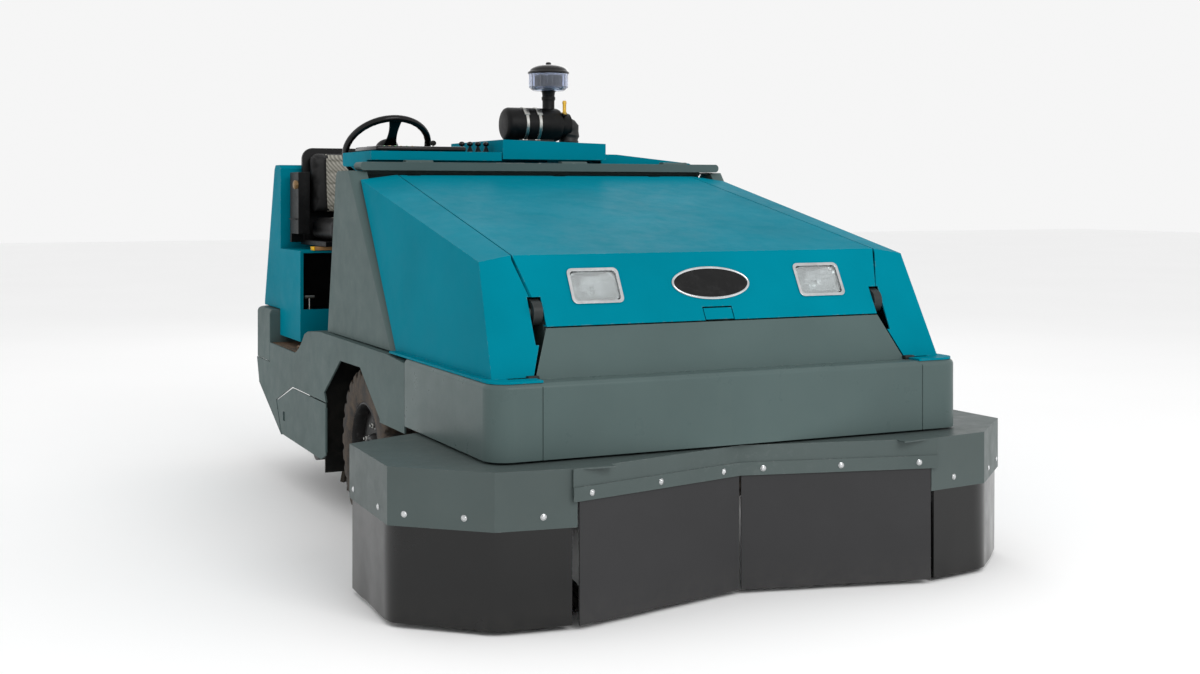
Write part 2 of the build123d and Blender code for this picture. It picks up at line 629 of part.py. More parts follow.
HEADLIGHT_X = 358
HEADLIGHT_Z = 836
BADGE_Z = 835
with BuildPart() as lid_inside:
    across([(137, 740), (236, 916.5), (1307, 1141), (1340, 1090), (256, 862), (176, 725),
            (152, 725), (152, 740)], -600, 600)
    upright([(522, 100), (522, 130), (577, 232), (545, 1307), (545, 1400), (-545, 1400),
             (-545, 1307), (-577, 232), (-522, 130), (-522, 100)], 700, 1200, Mode.INTERSECT)
with BuildPart() as hopper_lid:
    across([LID_LOW, LID_CREASE, LID_TOP, (1311, 1120), (1304, 1100), (252, 878), (154, 736)],
           -600, 600)
    upright([(LID_LOW_X, 100), (LID_LOW_X, 129), (LID_CREASE_X, 232), (LID_TOP_X, 1311),
             (-LID_TOP_X, 1311), (-LID_CREASE_X, 232), (-LID_LOW_X, 129), (-LID_LOW_X, 100)],
            700, 1200, Mode.INTERSECT)
    add(lid_inside.part, mode=Mode.SUBTRACT)
    for knuckle in LID_HINGES:
        cross_rod(1314, 1136, 6, knuckle - 44, knuckle + 44)
        block((knuckle - 92, knuckle - 45), (1303, 1322), (1095, 1150), Mode.SUBTRACT)
    for side in (-1, 1):
        with BuildSketch(lid_face(side * HEADLIGHT_X, HEADLIGHT_Z)) as opening:
            RectangleRounded(140, 92, 12)
        extrude(opening.sketch, amount=-30, mode=Mode.SUBTRACT)
        corner = sorted((side * 500, side * 620))
        block((corner[0] + (24 if side > 0 else 0), corner[1] - (24 if side < 0 else 0)),
              (110, 214), (720, 812), Mode.SUBTRACT)
    block((-47, 47), (100, 175), (730, 772), Mode.SUBTRACT)
write(hopper_lid, "hopper_lid")

with BuildPart() as headlight_rims:
    for side in (-1, 1):
        lamp = lid_face(side * HEADLIGHT_X, HEADLIGHT_Z)
        with BuildSketch(lamp) as flange:
            RectangleRounded(154, 106, 16)
            RectangleRounded(136, 88, 10, mode=Mode.SUBTRACT)
        extrude(flange.sketch, amount=4)
        with BuildSketch(lamp.offset(-58)) as bucket:
            RectangleRounded(139, 91, 11.5)
        extrude(bucket.sketch, amount=58)
        with BuildSketch(lamp.offset(-55)) as hollow:
            RectangleRounded(136, 88, 10)
        extrude(hollow.sketch, amount=70, mode=Mode.SUBTRACT)
write(headlight_rims, "headlight_rims")

with BuildPart() as headlight_lenses:
    for side in (-1, 1):
        with BuildSketch(lid_face(side * HEADLIGHT_X, HEADLIGHT_Z).offset(-7)) as pane:
            RectangleRounded(135.6, 87.6, 9.8)
        extrude(pane.sketch, amount=6)
write(headlight_lenses, "headlight_lenses")

with BuildPart() as lid_badge:
    with BuildSketch(lid_face(0, BADGE_Z)) as base:
        Ellipse(124, 51)
    extrude(base.sketch, amount=5)
    with BuildSketch(lid_face(0, BADGE_Z).offset(3)) as field:
        Ellipse(115, 42)
    extrude(field.sketch, amount=3, mode=Mode.SUBTRACT)
write(lid_badge, "lid_badge")

with BuildPart() as lid_latch:
    across([(130.5, 738), (147.5, 768), (152, 768), (135, 738)], -44, 44)
    cross_rod(151, 765, 3, -44, 44)
write(lid_latch, "lid_latch")

# ---- hopper lift --------------------------------------------------------------------------
ARM_LENGTH = math.dist(HOPPER_PIVOT, ARM_TIP)
ARM_ANGLE = math.degrees(math.atan2(HOPPER_PIVOT[1] - ARM_TIP[1], HOPPER_PIVOT[0] - ARM_TIP[0]))
CYLINDER_HEAD = arm_point(CYLINDER_REACH)
CYLINDER_RUN = math.dist(CYLINDER_FOOT, CYLINDER_HEAD)
TORQUE_TUBE = arm_point(130)
with BuildPart() as lift_arms:
    with BuildSketch(Plane.YZ.offset(ARM_X)):
        with Locations((y_at((HOPPER_PIVOT[0] + ARM_TIP[0]) / 2),
                        (HOPPER_PIVOT[1] + ARM_TIP[1]) / 2)):
            SlotCenterToCenter(ARM_LENGTH, 68, rotation=ARM_ANGLE)
        with Locations((y_at(ARM_TIP[0]), ARM_TIP[1])):
            Circle(14 + RUNNING_CLEARANCE, mode=Mode.SUBTRACT)
        with Locations((y_at(HOPPER_PIVOT[0]), HOPPER_PIVOT[1])):
            Circle(18 + RUNNING_CLEARANCE, mode=Mode.SUBTRACT)
    extrude(amount=ARM_T)
    cross_rod(CYLINDER_HEAD[0], CYLINDER_HEAD[1], 12, ARM_X + ARM_T, 634)
    cross_rod(TORQUE_TUBE[0], TORQUE_TUBE[1], 24, 0, ARM_X)
    mirror(about=Plane.YZ)
write(lift_arms, "lift_arms")


def cylinder_plane(distance):
    """Plane square to the lift cylinder, at a distance from its foot pin."""
    along_y = (CYLINDER_HEAD[0] - CYLINDER_FOOT[0]) / CYLINDER_RUN
    along_z = (CYLINDER_HEAD[1] - CYLINDER_FOOT[1]) / CYLINDER_RUN
    origin = (CYLINDER_X, y_at(CYLINDER_FOOT[0] + along_y * distance),
              CYLINDER_FOOT[1] + along_z * distance)
    return Plane(origin=origin, x_dir=(1, 0, 0), z_dir=(0, along_y, along_z))


def cylinder_bar(radius, start, end, mode=Mode.ADD):
    """Add or cut a round bar on the lift cylinder's axis."""
    with BuildSketch(cylinder_plane(start)) as profile:
        Circle(radius)
    extrude(profile.sketch, amount=end - start, mode=mode)


CYLINDER_ANGLE = math.degrees(math.atan2(CYLINDER_HEAD[1] - CYLINDER_FOOT[1],
                                         CYLINDER_HEAD[0] - CYLINDER_FOOT[0]))
with BuildPart() as lift_barrels:
    cylinder_bar(25, 20, 470)
    cylinder_bar(28, 452, 470)
    cross_rod(CYLINDER_FOOT[0], CYLINDER_FOOT[1], 28, CYLINDER_X - 20, CYLINDER_X + 20)
    cross_rod(CYLINDER_FOOT[0], CYLINDER_FOOT[1], 14 + RUNNING_CLEARANCE, CYLINDER_X - 40,
              CYLINDER_X + 40, Mode.SUBTRACT)
    cylinder_bar(14 + RUNNING_CLEARANCE, 60, 480, Mode.SUBTRACT)
    mirror(about=Plane.YZ)
write(lift_barrels, "lift_barrels")

EYE_SLOT = 30
with BuildPart() as lift_rods:
    cylinder_bar(14, 80, CYLINDER_RUN - 14)
    eye_centre = cylinder_plane(CYLINDER_RUN + EYE_SLOT / 2 - 2).origin
    with BuildSketch(Plane.YZ.offset(CYLINDER_X - 14)):
        with Locations((eye_centre.Y, eye_centre.Z)):
            SlotCenterToCenter(EYE_SLOT, 62, rotation=CYLINDER_ANGLE)
    extrude(amount=28)
    with BuildSketch(Plane.YZ.offset(CYLINDER_X - 15)):
        with Locations((eye_centre.Y, eye_centre.Z)):
            SlotCenterToCenter(EYE_SLOT, 36, rotation=CYLINDER_ANGLE)
    extrude(amount=30, mode=Mode.SUBTRACT)
    mirror(about=Plane.YZ)
write(lift_rods, "lift_rods")

# ---- wheels -------------------------------------------------------------------------------


def wheel(x, behind, radius, width, rim_radius, shaft, outward, name):
    """Solid tyre on a dished rim, as two solids in one node."""
    low = x - width / 2
    high = x + width / 2
    with BuildPart() as tyre:
        cross_rod(behind, radius, radius, low, high)
        fillet(tyre.edges().filter_by(GeomType.CIRCLE), 24)
        cross_rod(behind, radius, rim_radius, low - 1, high + 1, Mode.SUBTRACT)
    with BuildPart() as rim:
        cross_rod(behind, radius, rim_radius, low + 10, high - 10)
        cross_rod(behind, radius, rim_radius - 8, low, high, Mode.SUBTRACT)
        web = x + outward * (width / 2 - 46)
        cross_rod(behind, radius, rim_radius - 7, web - 6, web + 6)
        cross_rod(behind, radius, shaft + 22, low + 14, high - 14)
        for bolt in range(5):
            turn = math.radians(90 + bolt * 72)
            bolt_behind = behind + (shaft + 44) * math.cos(turn)
            bolt_height = radius + (shaft + 44) * math.sin(turn)
            cross_rod(bolt_behind, bolt_height, 9, web - 16, web + 16)
        cross_rod(behind, radius, shaft + RUNNING_CLEARANCE, low - 1, high + 1, Mode.SUBTRACT)
    pieces = Compound(label=name, children=[tyre.part.solid(), rim.part.solid()])
    export_step(pieces, f"parts/{name}.step")


wheel(WHEEL_X, FRONT_AXLE_AT, TYRE_R, TYRE_W, 150, AXLE_R, 1, "front_wheel_left")
wheel(-WHEEL_X, FRONT_AXLE_AT, TYRE_R, TYRE_W, 150, AXLE_R, -1, "front_wheel_right")
wheel(0, REAR_AXLE_AT, REAR_TYRE_R, REAR_TYRE_W, 125, 20, -1, "rear_wheel")

with BuildPart() as steer_yoke:
    block((-116, 116), (2220, 2380), (478, 494))
    post(0, REAR_AXLE_AT, 40, 494, 516)
    post(0, REAR_AXLE_AT, 62, 516, 526)
    for side in (-1, 1):
        leg = sorted((side * 92, side * 116))
        block(leg, (2260, 2340), (200, 478))
    cross_rod(REAR_AXLE_AT, REAR_TYRE_R, 20, -116, 116)
write(steer_yoke, "steer_yoke")

# ---- brushes ------------------------------------------------------------------------------
with BuildPart() as main_brush_arm:
    arm_line = (BRUSH_AT[0] - BRUSH_ARM_PIVOT[0], BRUSH_AT[1] - BRUSH_ARM_PIVOT[1])
    arm_middle = ((BRUSH_AT[0] + BRUSH_ARM_PIVOT[0]) / 2, (BRUSH_AT[1] + BRUSH_ARM_PIVOT[1]) / 2)
    with BuildSketch(Plane.YZ.offset(645)):
        with Locations((y_at(arm_middle[0]), arm_middle[1])):
            SlotCenterToCenter(math.hypot(*arm_line), 56,
                               rotation=math.degrees(math.atan2(-arm_line[1], -arm_line[0])))
    extrude(amount=12)
    cross_rod(BRUSH_AT[0], BRUSH_AT[1], 20, 520, 645)
    cross_rod(BRUSH_AT[0], BRUSH_AT[1], 46, 657, 700)
    cross_rod(BRUSH_ARM_PIVOT[0], BRUSH_ARM_PIVOT[1], 20, 0, 645)
    mirror(about=Plane.YZ)
write(main_brush_arm, "main_brush_arm")

with BuildPart() as main_brush:
    half = BRUSH_LENGTH / 2
    cross_rod(BRUSH_AT[0], BRUSH_AT[1], BRUSH_R, -half, half)
    cross_rod(BRUSH_AT[0], BRUSH_AT[1], 20 + RUNNING_CLEARANCE, -half - 1, half + 1, Mode.SUBTRACT)
write(main_brush, "main_brush")

with BuildPart() as brush_hood:
    with BuildSketch(Plane.YZ.offset(-638)):
        with Locations((y_at(BRUSH_AT[0]), BRUSH_AT[1])):
            Circle(HOOD_R)
            Circle(HOOD_R - SHEET, mode=Mode.SUBTRACT)
    extrude(amount=2 * 638)
    block((-650, 650), (1400, 2100), (-100, BRUSH_AT[1]), Mode.SUBTRACT)
    block((-650, 650), (1400, 1690), (100, 500), Mode.SUBTRACT)
    across([(1692, 388), (905, 600), (905, 604), (1692, 392)], -456, 456)
    across([(1590, 52), (905, 400), (905, 404), (1590, 56)], -456, 456)
    for side in (-1, 1):
        cheek = sorted((side * 452, side * 456))
        across([(905, 400), (1590, 52), (1590, 416), (905, 600)], cheek[0], cheek[1])
write(brush_hood, "brush_hood")

DOOR = [(1564, 366), (2026, 366), (2270, 292), (2196, 175), (1626, 167), (1564, 190)]
for side, name in ((1, "brush_door_left"), (-1, "brush_door_right")):
    inner, outer = sorted((side * (PANEL_X - 6), side * (PANEL_X - 1)))
    with BuildPart() as brush_door:
        across(DOOR, inner, outer)
        post(side * (PANEL_X - 4), 1566, 5, 200, 352)
        block((inner, outer), (2140, 2172), (228, 262), Mode.SUBTRACT)
        lip = sorted((side * (PANEL_X - 8), side * (PANEL_X - 6)))
        block(lip, (2132, 2180), (220, 270))
    write(brush_door, name)

for side, name in ((1, "left"), (-1, "right")):
    brush_x = side * SIDE_BRUSH[0]
    with BuildPart() as side_brush_arm:
        tube = sorted((side * 516, side * 690))
        cross_rod(600, 304, 15, tube[0], tube[1])
        block((brush_x - 34, brush_x + 34), (235, 600), (297, 311))
        post(brush_x, SIDE_BRUSH[1], 54, 250, 336)
        post(brush_x, SIDE_BRUSH[1], 14, 148, 250)
    write(side_brush_arm, f"side_brush_arm_{name}")
    with BuildPart() as side_brush:
        post(brush_x, SIDE_BRUSH[1], 150, 150, 176)
        with BuildSketch(Plane.XZ.offset(-y_at(SIDE_BRUSH[1]))) as tuft:
            with BuildLine():
                Polyline((brush_x + 96, 150), (brush_x + 148, 150), (brush_x + 262, 3),
                         (brush_x + 150, 3), close=True)
            make_face()
        revolve(tuft.sketch, axis=Axis((brush_x, y_at(SIDE_BRUSH[1]), 0), (0, 0, 1)))
        post(brush_x, SIDE_BRUSH[1], 14 + RUNNING_CLEARANCE, 100, 200, Mode.SUBTRACT)
    write(side_brush, f"side_brush_{name}")

# ---- skirt kit ----------------------------------------------------------------------------
with BuildPart() as skirt_covers:
    upright(COVER_PLAN + [(440, -119), (440, 36), (516, 36), (516, 560), (728, 600)],
            COVER_LOW, COVER_TOP)
    upright([(933.4, 900), (958, 121.8), (748.3, -71), (430, -116.5), (430, 900)], COVER_LOW - 1,
            COVER_TOP - SHEET, Mode.SUBTRACT)
    block((430, 541), (-200, -95), (COVER_LOW - 1, COVER_TOP - SHEET), Mode.SUBTRACT)
    upright([(556, -113), (0, 22), (0, 26), (556, -109)], 350, COVER_TOP)
    upright([(0, 24), (0, 36), (442, 36), (442, -83.3)], COVER_TOP - SHEET, COVER_TOP)
    upright([(556, -117), (0, 18), (0, 22), (556, -113)], 322, 358)
    mirror(about=Plane.YZ)
write(skirt_covers, "skirt_covers")

with BuildPart() as pod_skirts:
    with BuildSketch(Plane.XY.offset(FLAP_BOTTOM)):
        with BuildLine():
            Polyline(*plan_view([(936, 486), (948, 126), (744, -62), (552, -90), (552, 486)]),
                     close=True)
        make_face()
        fillet(vertices().filter_by(lambda corner: corner.X > 900 and corner.Y < y_at(300)), 90)
        fillet(vertices().filter_by(lambda corner: 700 < corner.X < 800), 120)
    extrude(amount=308)
    with BuildSketch(Plane.XY.offset(FLAP_BOTTOM - 1)):
        with BuildLine():
            Polyline(*plan_view([(921, 700), (940, 129), (741, -54), (500, -88), (500, 700)]),
                     close=True)
        make_face()
        fillet(vertices().filter_by(lambda corner: corner.X > 900 and corner.Y < y_at(300)), 82)
        fillet(vertices().filter_by(lambda corner: 700 < corner.X < 800), 112)
    extrude(amount=330, mode=Mode.SUBTRACT)
    mirror(about=Plane.YZ)
write(pod_skirts, "pod_skirts")

with BuildPart() as front_flaps:
    upright([(538, -108.5), (3, 21.4), (3, 27.5), (538, -102.4)], FLAP_BOTTOM, 345)
    mirror(about=Plane.YZ)
write(front_flaps, "front_flaps")


def bolts_on(start, end, places, height):
    """Add button-head bolts along an upright sheet between two plan points."""
    run = Vector(end[0] - start[0], end[1] - start[1], 0).normalized()
    normal = Vector(-run.Y, run.X, 0)
    for place in places:
        x = start[0] + (end[0] - start[0]) * place
        behind = start[1] + (end[1] - start[1]) * place
        head = Plane(origin=(x, y_at(behind), height), z_dir=(-normal.X, -normal.Y, 0))
        with BuildSketch(head) as shank:
            Circle(8)
        extrude(shank.sketch, amount=2.5)
        with BuildSketch(head.offset(2.5)) as dome:
            Circle(6.5)
        extrude(dome.sketch, amount=2)


corners = COVER_PLAN
with BuildPart() as skirt_bolts:
    bolts_on(corners[1], corners[0], (0.22, 0.88), 288)
    bolts_on(corners[2], corners[1], (0.28, 0.84), 288)
    bolts_on(corners[3], corners[2], (0.42,), 288)
    bolts_on((0, 18), (556, -117), (0.11, 0.5, 0.9), 340)
    mirror(about=Plane.YZ)
write(skirt_bolts, "skirt_bolts")
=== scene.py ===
"""Looks of the ride-on sweeper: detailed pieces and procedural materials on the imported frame.

Metres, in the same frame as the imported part: +Z up, the front faces -Y, the origin is on the
floor under the centre of the machine. Distances called "behind" are millimetres behind the
flat face of the front bumper, as in the part's source.
"""
import math
import random

import bmesh
import bpy
from mathutils import Matrix, Vector


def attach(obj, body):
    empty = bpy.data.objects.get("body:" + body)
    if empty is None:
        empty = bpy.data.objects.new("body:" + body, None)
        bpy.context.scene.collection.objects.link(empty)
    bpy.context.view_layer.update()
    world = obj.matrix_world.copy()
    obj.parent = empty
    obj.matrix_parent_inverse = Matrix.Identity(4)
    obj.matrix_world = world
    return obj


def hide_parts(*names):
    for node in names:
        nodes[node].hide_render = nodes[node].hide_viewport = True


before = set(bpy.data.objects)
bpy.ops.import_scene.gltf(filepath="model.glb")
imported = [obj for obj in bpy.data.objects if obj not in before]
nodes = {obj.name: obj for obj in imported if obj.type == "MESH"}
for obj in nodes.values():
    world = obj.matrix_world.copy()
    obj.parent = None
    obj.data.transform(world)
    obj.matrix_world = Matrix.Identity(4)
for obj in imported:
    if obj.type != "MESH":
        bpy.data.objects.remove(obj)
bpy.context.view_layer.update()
FACE_TO_ORIGIN = 1268          # mm from the bumper face back to the origin
MM = 0.001
SAME_POINT = 1e-6              # metres within which two vertices are one
SHARP = 0.5                    # radians between faces past which an edge is rounded
CREASE = 38                    # degrees between faces past which the shading breaks
ACROSS, UP = Vector((1, 0, 0)), Vector((0, 0, 1))
random.seed(7)


# ---- mesh helpers -------------------------------------------------------------------------
def spot(x, behind, z):
    """Point in metres from X, behind and height in millimetres."""
    return Vector((x, behind - FACE_TO_ORIGIN, z)) * MM


def metres(pairs):
    """Pairs of millimetres turned into metres."""
    return [(u * MM, v * MM) for u, v in pairs]


def basis(axis):
    """Two directions square to an axis, and the axis."""
    axis = Vector(axis).normalized()
    guide = UP if abs(axis.z) < 0.9 else ACROSS
    side = guide.cross(axis).normalized()
    return side, axis.cross(side), axis


def rounded(points, radii, steps):
    """Polyline through 2-D points with its inner corners rounded."""
    path = [Vector(points[0])]
    for index in range(1, len(points) - 1):
        corner = Vector(points[index])
        radius = radii[index]
        back = (Vector(points[index - 1]) - corner).normalized()
        ahead = (Vector(points[index + 1]) - corner).normalized()
        half = back.angle(ahead) / 2
        if radius <= 0 or half > 1.5:
            path.append(corner)
            continue
        centre = corner + (back + ahead).normalized() * radius / math.sin(half)
        first = corner + back * radius / math.tan(half) - centre
        last = corner + ahead * radius / math.tan(half) - centre
        sweep = first.angle_signed(last)
        for step in range(steps + 1):
            turn = Matrix.Rotation(-sweep * step / steps, 2)
            path.append(centre + turn @ first)
    path.append(Vector(points[-1]))
    return path


def spaced(path, gap):
    """Path resampled to points about one gap apart."""
    out = [path[0].copy()]
    for start, end in zip(path, path[1:]):
        count = max(1, round((end - start).length / gap))
        out += [start.lerp(end, (i + 1) / count) for i in range(count)]
    return out


class Shape:
    """Collects the vertices and faces of one piece: points in metres, sizes in millimetres."""

    def __init__(self):
        self.verts, self.faces, self.slots = [], [], []

    def add(self, verts, faces, slot=0):
        base = len(self.verts)
        self.verts += [tuple(v) for v in verts]
        self.faces += [tuple(base + i for i in face) for face in faces]
        self.slots += [slot] * len(faces)

    def join(self, other):
        """Takes in the faces of another shape."""
        self.add(other.verts, other.faces)
        return self

    def grid(self, rows, slot=0, round_u=False, round_v=False):
        """Skin over rows of points; round_u joins a row's ends, round_v the rows'."""
        height, width = len(rows), len(rows[0])
        faces = []
        for v in range(height if round_v else height - 1):
            for u in range(width if round_u else width - 1):
                after, above = (u + 1) % width, (v + 1) % height
                faces.append((v * width + u, v * width + after,
                              above * width + after, above * width + u))
        self.add([p for row in rows for p in row], faces, slot)

    def lathe(self, profile, origin, axis, segments, slot=0, bulge=None, loop=False):
        """Turns a profile of (radius, distance along the axis)."""
        side, up, along = basis(axis)
        rows = []
        for index, (radius, reach) in enumerate(profile):
            row = []
            for step in range(segments):
                angle = math.tau * step / segments
                wide = radius + (bulge(angle, index) if bulge else 0)
                turned = (side * math.cos(angle) + up * math.sin(angle)) * wide
                row.append(Vector(origin) + (along * reach + turned) * MM)
            rows.append(row)
        self.grid(rows, slot, round_u=True, round_v=loop)

    def tube(self, path, radius, sides, slot=0, width=None):
        """Round bar along a path, with its ends closed."""
        rows = []
        up = None
        for index, point in enumerate(path):
            ahead = path[min(index + 1, len(path) - 1)]
            back = path[max(index - 1, 0)]
            along = (Vector(ahead) - Vector(back)).normalized()
            if up is None:
                up = basis(along)[0]
            up = (up - along * up.dot(along)).normalized()
            side = along.cross(up)
            thick = (radius(index) if callable(radius) else radius) * MM
            wide = width * MM if width else thick
            rows.append([Vector(point) + up * math.cos(math.tau * s / sides) * wide
                         + side * math.sin(math.tau * s / sides) * thick for s in range(sides)])
        self.grid(rows, slot, round_u=True)
        self.add(rows[0], [tuple(reversed(range(sides)))], slot)
        self.add(rows[-1], [tuple(range(sides))], slot)

    def solid(self, outline, origin, x_axis, y_axis, depth, bevel, slot=0, segments=2):
        """Prism on an outline in a plane, grown by depth along its normal, both in metres."""
        x_axis, y_axis = Vector(x_axis).normalized(), Vector(y_axis).normalized()
        normal = x_axis.cross(y_axis)
        build = bmesh.new()
        low = [build.verts.new(Vector(origin) + x_axis * u + y_axis * v) for u, v in outline]
        face = build.faces.new(low)
        grown = bmesh.ops.extrude_face_region(build, geom=[face])
        moved = [g for g in grown["geom"] if isinstance(g, bmesh.types.BMVert)]
        bmesh.ops.translate(build, verts=moved, vec=normal * depth)
        bmesh.ops.recalc_face_normals(build, faces=build.faces)
        self.bevelled(build, bevel, segments, slot)

    def block(self, low, high, bevel, slot=0, segments=2, turn=None):
        """Box between two corners, with rounded edges."""
        low, high = Vector(low), Vector(high)
        build = bmesh.new()
        bmesh.ops.create_cube(build, size=1.0)
        bmesh.ops.scale(build, vec=high - low, verts=build.verts)
        if turn is not None:
            bmesh.ops.rotate(build, matrix=turn, verts=build.verts, cent=(0, 0, 0))
        bmesh.ops.translate(build, vec=(low + high) / 2, verts=build.verts)
        self.bevelled(build, bevel, segments, slot)

    def bevelled(self, build, bevel, segments, slot):
        """Rounds a bmesh's sharp edges and takes it in."""
        if bevel > 0:
            sharp = [e for e in build.edges if e.calc_face_angle(0) > SHARP]
            bmesh.ops.bevel(build, geom=sharp, offset=bevel * MM, segments=segments,
                            profile=0.5, affect="EDGES", clamp_overlap=True)
        build.verts.index_update()
        self.add([v.co for v in build.verts],
                 [[v.index for v in f.verts] for f in build.faces], slot)
        build.free()

    def make(self, name, looks, body, stands_for, slot):
        """Turns the collected mesh into a piece that rides on a body."""
        mesh = bpy.data.meshes.new(name)
        mesh.from_pydata(self.verts, [], self.faces)
        for face, index in zip(mesh.polygons, self.slots):
            face.material_index = index
        clean = bmesh.new()
        clean.from_mesh(mesh)
        bmesh.ops.remove_doubles(clean, verts=clean.verts, dist=SAME_POINT)
        bmesh.ops.recalc_face_normals(clean, faces=clean.faces)
        clean.to_mesh(mesh)
        clean.free()
        mesh.validate()
        for look in looks if isinstance(looks, (list, tuple)) else [looks]:
            mesh.materials.append(look)
        mesh.shade_smooth()
        mesh.set_sharp_from_angle(angle=math.radians(CREASE))
        piece = bpy.data.objects.new(name, mesh)
        bpy.context.scene.collection.objects.link(piece)
        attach(piece, body)
        if stands_for:
            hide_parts(*stands_for)
        return piece


# ---- procedural materials -----------------------------------------------------------------
def linear(red, green, blue):
    """Colour from 0-255 display values."""
    return tuple((c / 255) ** 2.2 for c in (red, green, blue)) + (1,)


class Look:
    """One node material on a Principled shader, built from the object's own coordinates."""

    def __init__(self, name, **sockets):
        self.material = bpy.data.materials.new(name)
        self.material.use_nodes = True
        self.tree = self.material.node_tree
        self.shader = self.tree.nodes["Principled BSDF"]
        for socket, value in sockets.items():
            self.shader.inputs[socket.replace("_", " ")].default_value = value
        self.place = self.new("ShaderNodeTexCoord").outputs["Object"]
        self.relief = None

    def new(self, kind, inputs=None, **settings):
        node = self.tree.nodes.new(kind)
        for key, value in settings.items():
            setattr(node, key, value)
        for key, value in (inputs or {}).items():
            if hasattr(value, "is_output"):
                self.tree.links.new(value, node.inputs[key])
            else:
                node.inputs[key].default_value = value
        return node

    def where(self, stretch=(1, 1, 1), turn=(0, 0, 0)):
        """The coordinates, scaled and turned."""
        return self.new("ShaderNodeMapping", {"Vector": self.place, "Scale": stretch,
                                              "Rotation": turn}).outputs[0]

    def noise(self, scale, detail=4, rough=0.55, stretch=(1, 1, 1)):
        return self.new("ShaderNodeTexNoise", {"Vector": self.where(stretch), "Scale": scale,
                                               "Detail": detail, "Roughness": rough}).outputs[0]

    def cells(self, scale):
        return self.new("ShaderNodeTexVoronoi",
                        {"Vector": self.where(), "Scale": scale}).outputs["Distance"]

    def wave(self, scale, turn=(0, 0, 0)):
        return self.new("ShaderNodeTexWave", {"Vector": self.where(turn=turn), "Scale": scale,
                                              "Distortion": 0.0}).outputs["Fac"]

    def height(self):
        """Height above the floor, in metres."""
        return self.new("ShaderNodeSeparateXYZ", {0: self.place}).outputs["Z"]

    def span(self, value, low, high, to_low=0.0, to_high=1.0):
        return self.new("ShaderNodeMapRange", {"Value": value, "From Min": low, "From Max": high,
                                               "To Min": to_low, "To Max": to_high}).outputs[0]

    def sum(self, kind, first, second):
        return self.new("ShaderNodeMath", {0: first, 1: second}, operation=kind).outputs[0]

    def blend(self, share, first, second):
        node = self.new("ShaderNodeMix", data_type="RGBA")
        for key, value in ((0, share), (6, first), (7, second)):
            if hasattr(value, "is_output"):
                self.tree.links.new(value, node.inputs[key])
            else:
                node.inputs[key].default_value = value
        return node.outputs[2]

    def edge(self):
        """Near 1 within about 4 mm of the piece's edges."""
        soft = self.new("ShaderNodeBevel", {"Radius": 0.004}, samples=4).outputs[0]
        true = self.new("ShaderNodeNewGeometry").outputs["True Normal"]
        dot = self.new("ShaderNodeVectorMath", {0: soft, 1: true}, operation="DOT_PRODUCT")
        return self.span(dot.outputs["Value"], 0.995, 0.9)

    def bump(self, height, strength, distance):
        inputs = {"Height": height, "Strength": strength, "Distance": distance}
        if self.relief is not None:
            inputs["Normal"] = self.relief
        self.relief = self.new("ShaderNodeBump", inputs).outputs[0]

    def done(self, colour=None, rough=None):
        for value, socket in ((colour, "Base Color"), (rough, "Roughness"),
                              (self.relief, "Normal")):
            if value is not None:
                self.tree.links.new(value, self.shader.inputs[socket])
        return self.material


def paint(name, colour, dusty, roughness=0.4, shine=0.2, peel=0.12, dust=0.12, chip=0.25):
    """Enamel on sheet metal: slight mottle, orange peel, dust low down, rubbed edges."""
    look = Look(name, Specular_IOR_Level=shine)
    mottle = look.noise(2.3, 3, 0.6)
    cloud = look.noise(14, 5, 0.7)
    deep = tuple(c * 0.88 for c in colour[:3]) + (1,)
    base = look.blend(look.span(mottle, 0.35, 0.65), deep, colour)
    low = look.span(look.height(), 0.75, 0.05)
    film = look.sum("MULTIPLY", low, look.span(cloud, 0.4, 0.72, 0.0, dust))
    base = look.blend(film, base, dusty)
    streak = look.noise(9, 5, 0.7, stretch=(6, 6, 0.5))
    base = look.blend(look.span(streak, 0.55, 0.85, 0.0, 0.10), base, dusty)
    chips = look.span(look.noise(60, 6, 0.75), 0.53, 0.62, 0.0, chip)
    base = look.blend(look.sum("MULTIPLY", look.edge(), chips), base, BARE_STEEL)
    look.bump(look.noise(420, 2, 0.5), peel, 0.0004)
    rough = look.span(cloud, 0.3, 0.75, roughness - 0.05, roughness + 0.12)
    return look.done(base, rough)


TEAL, GREY = linear(0, 121, 140), linear(80, 95, 94)
BARE_STEEL = (0.32, 0.33, 0.33, 1)
teal = paint("teal_enamel", TEAL, linear(24, 124, 132), roughness=0.34, shine=0.005)
grey = paint("grey_enamel", GREY, linear(104, 112, 108), shine=0.05, peel=0.2)
bumper_grey = paint("bumper_enamel", GREY, linear(98, 106, 102), roughness=0.3, shine=0.12,
                    chip=0.08)
# lift arms: the body's grey darkened as painted shade of the slots they sit in
shaded_arm_grey = paint("arm_enamel_shaded", linear(46, 50, 50), linear(84, 84, 78), shine=0.2)
kit_grey = paint("kit_enamel", linear(76, 86, 85), linear(94, 99, 95), shine=0.2, peel=0.2)
black_paint = paint("frame_enamel", linear(20, 21, 21), linear(60, 57, 50), shine=0.3,
                    dust=0.5)


def gritty():
    """Anti-slip grit on the operator's step."""
    look = Look("step_grit")
    grain = look.noise(900, 3, 0.8)
    base = look.blend(look.span(grain, 0.35, 0.65), linear(62, 44, 30), linear(118, 92, 66))
    base = look.blend(look.span(look.noise(9, 5), 0.45, 0.7), base, linear(50, 46, 42))
    look.bump(grain, 0.9, 0.0015)
    return look.done(base, look.span(grain, 0, 1, 0.75, 0.95))


def cast():
    """Rough painted casting."""
    look = Look("rough_casting", Metallic=0.4)
    grain = look.noise(160, 5, 0.75)
    base = look.blend(look.span(look.noise(7, 4), 0.35, 0.7), linear(44, 45, 46),
                      linear(78, 76, 70))
    look.bump(grain, 0.6, 0.0015)
    return look.done(base, look.span(grain, 0.2, 0.8, 0.45, 0.75))


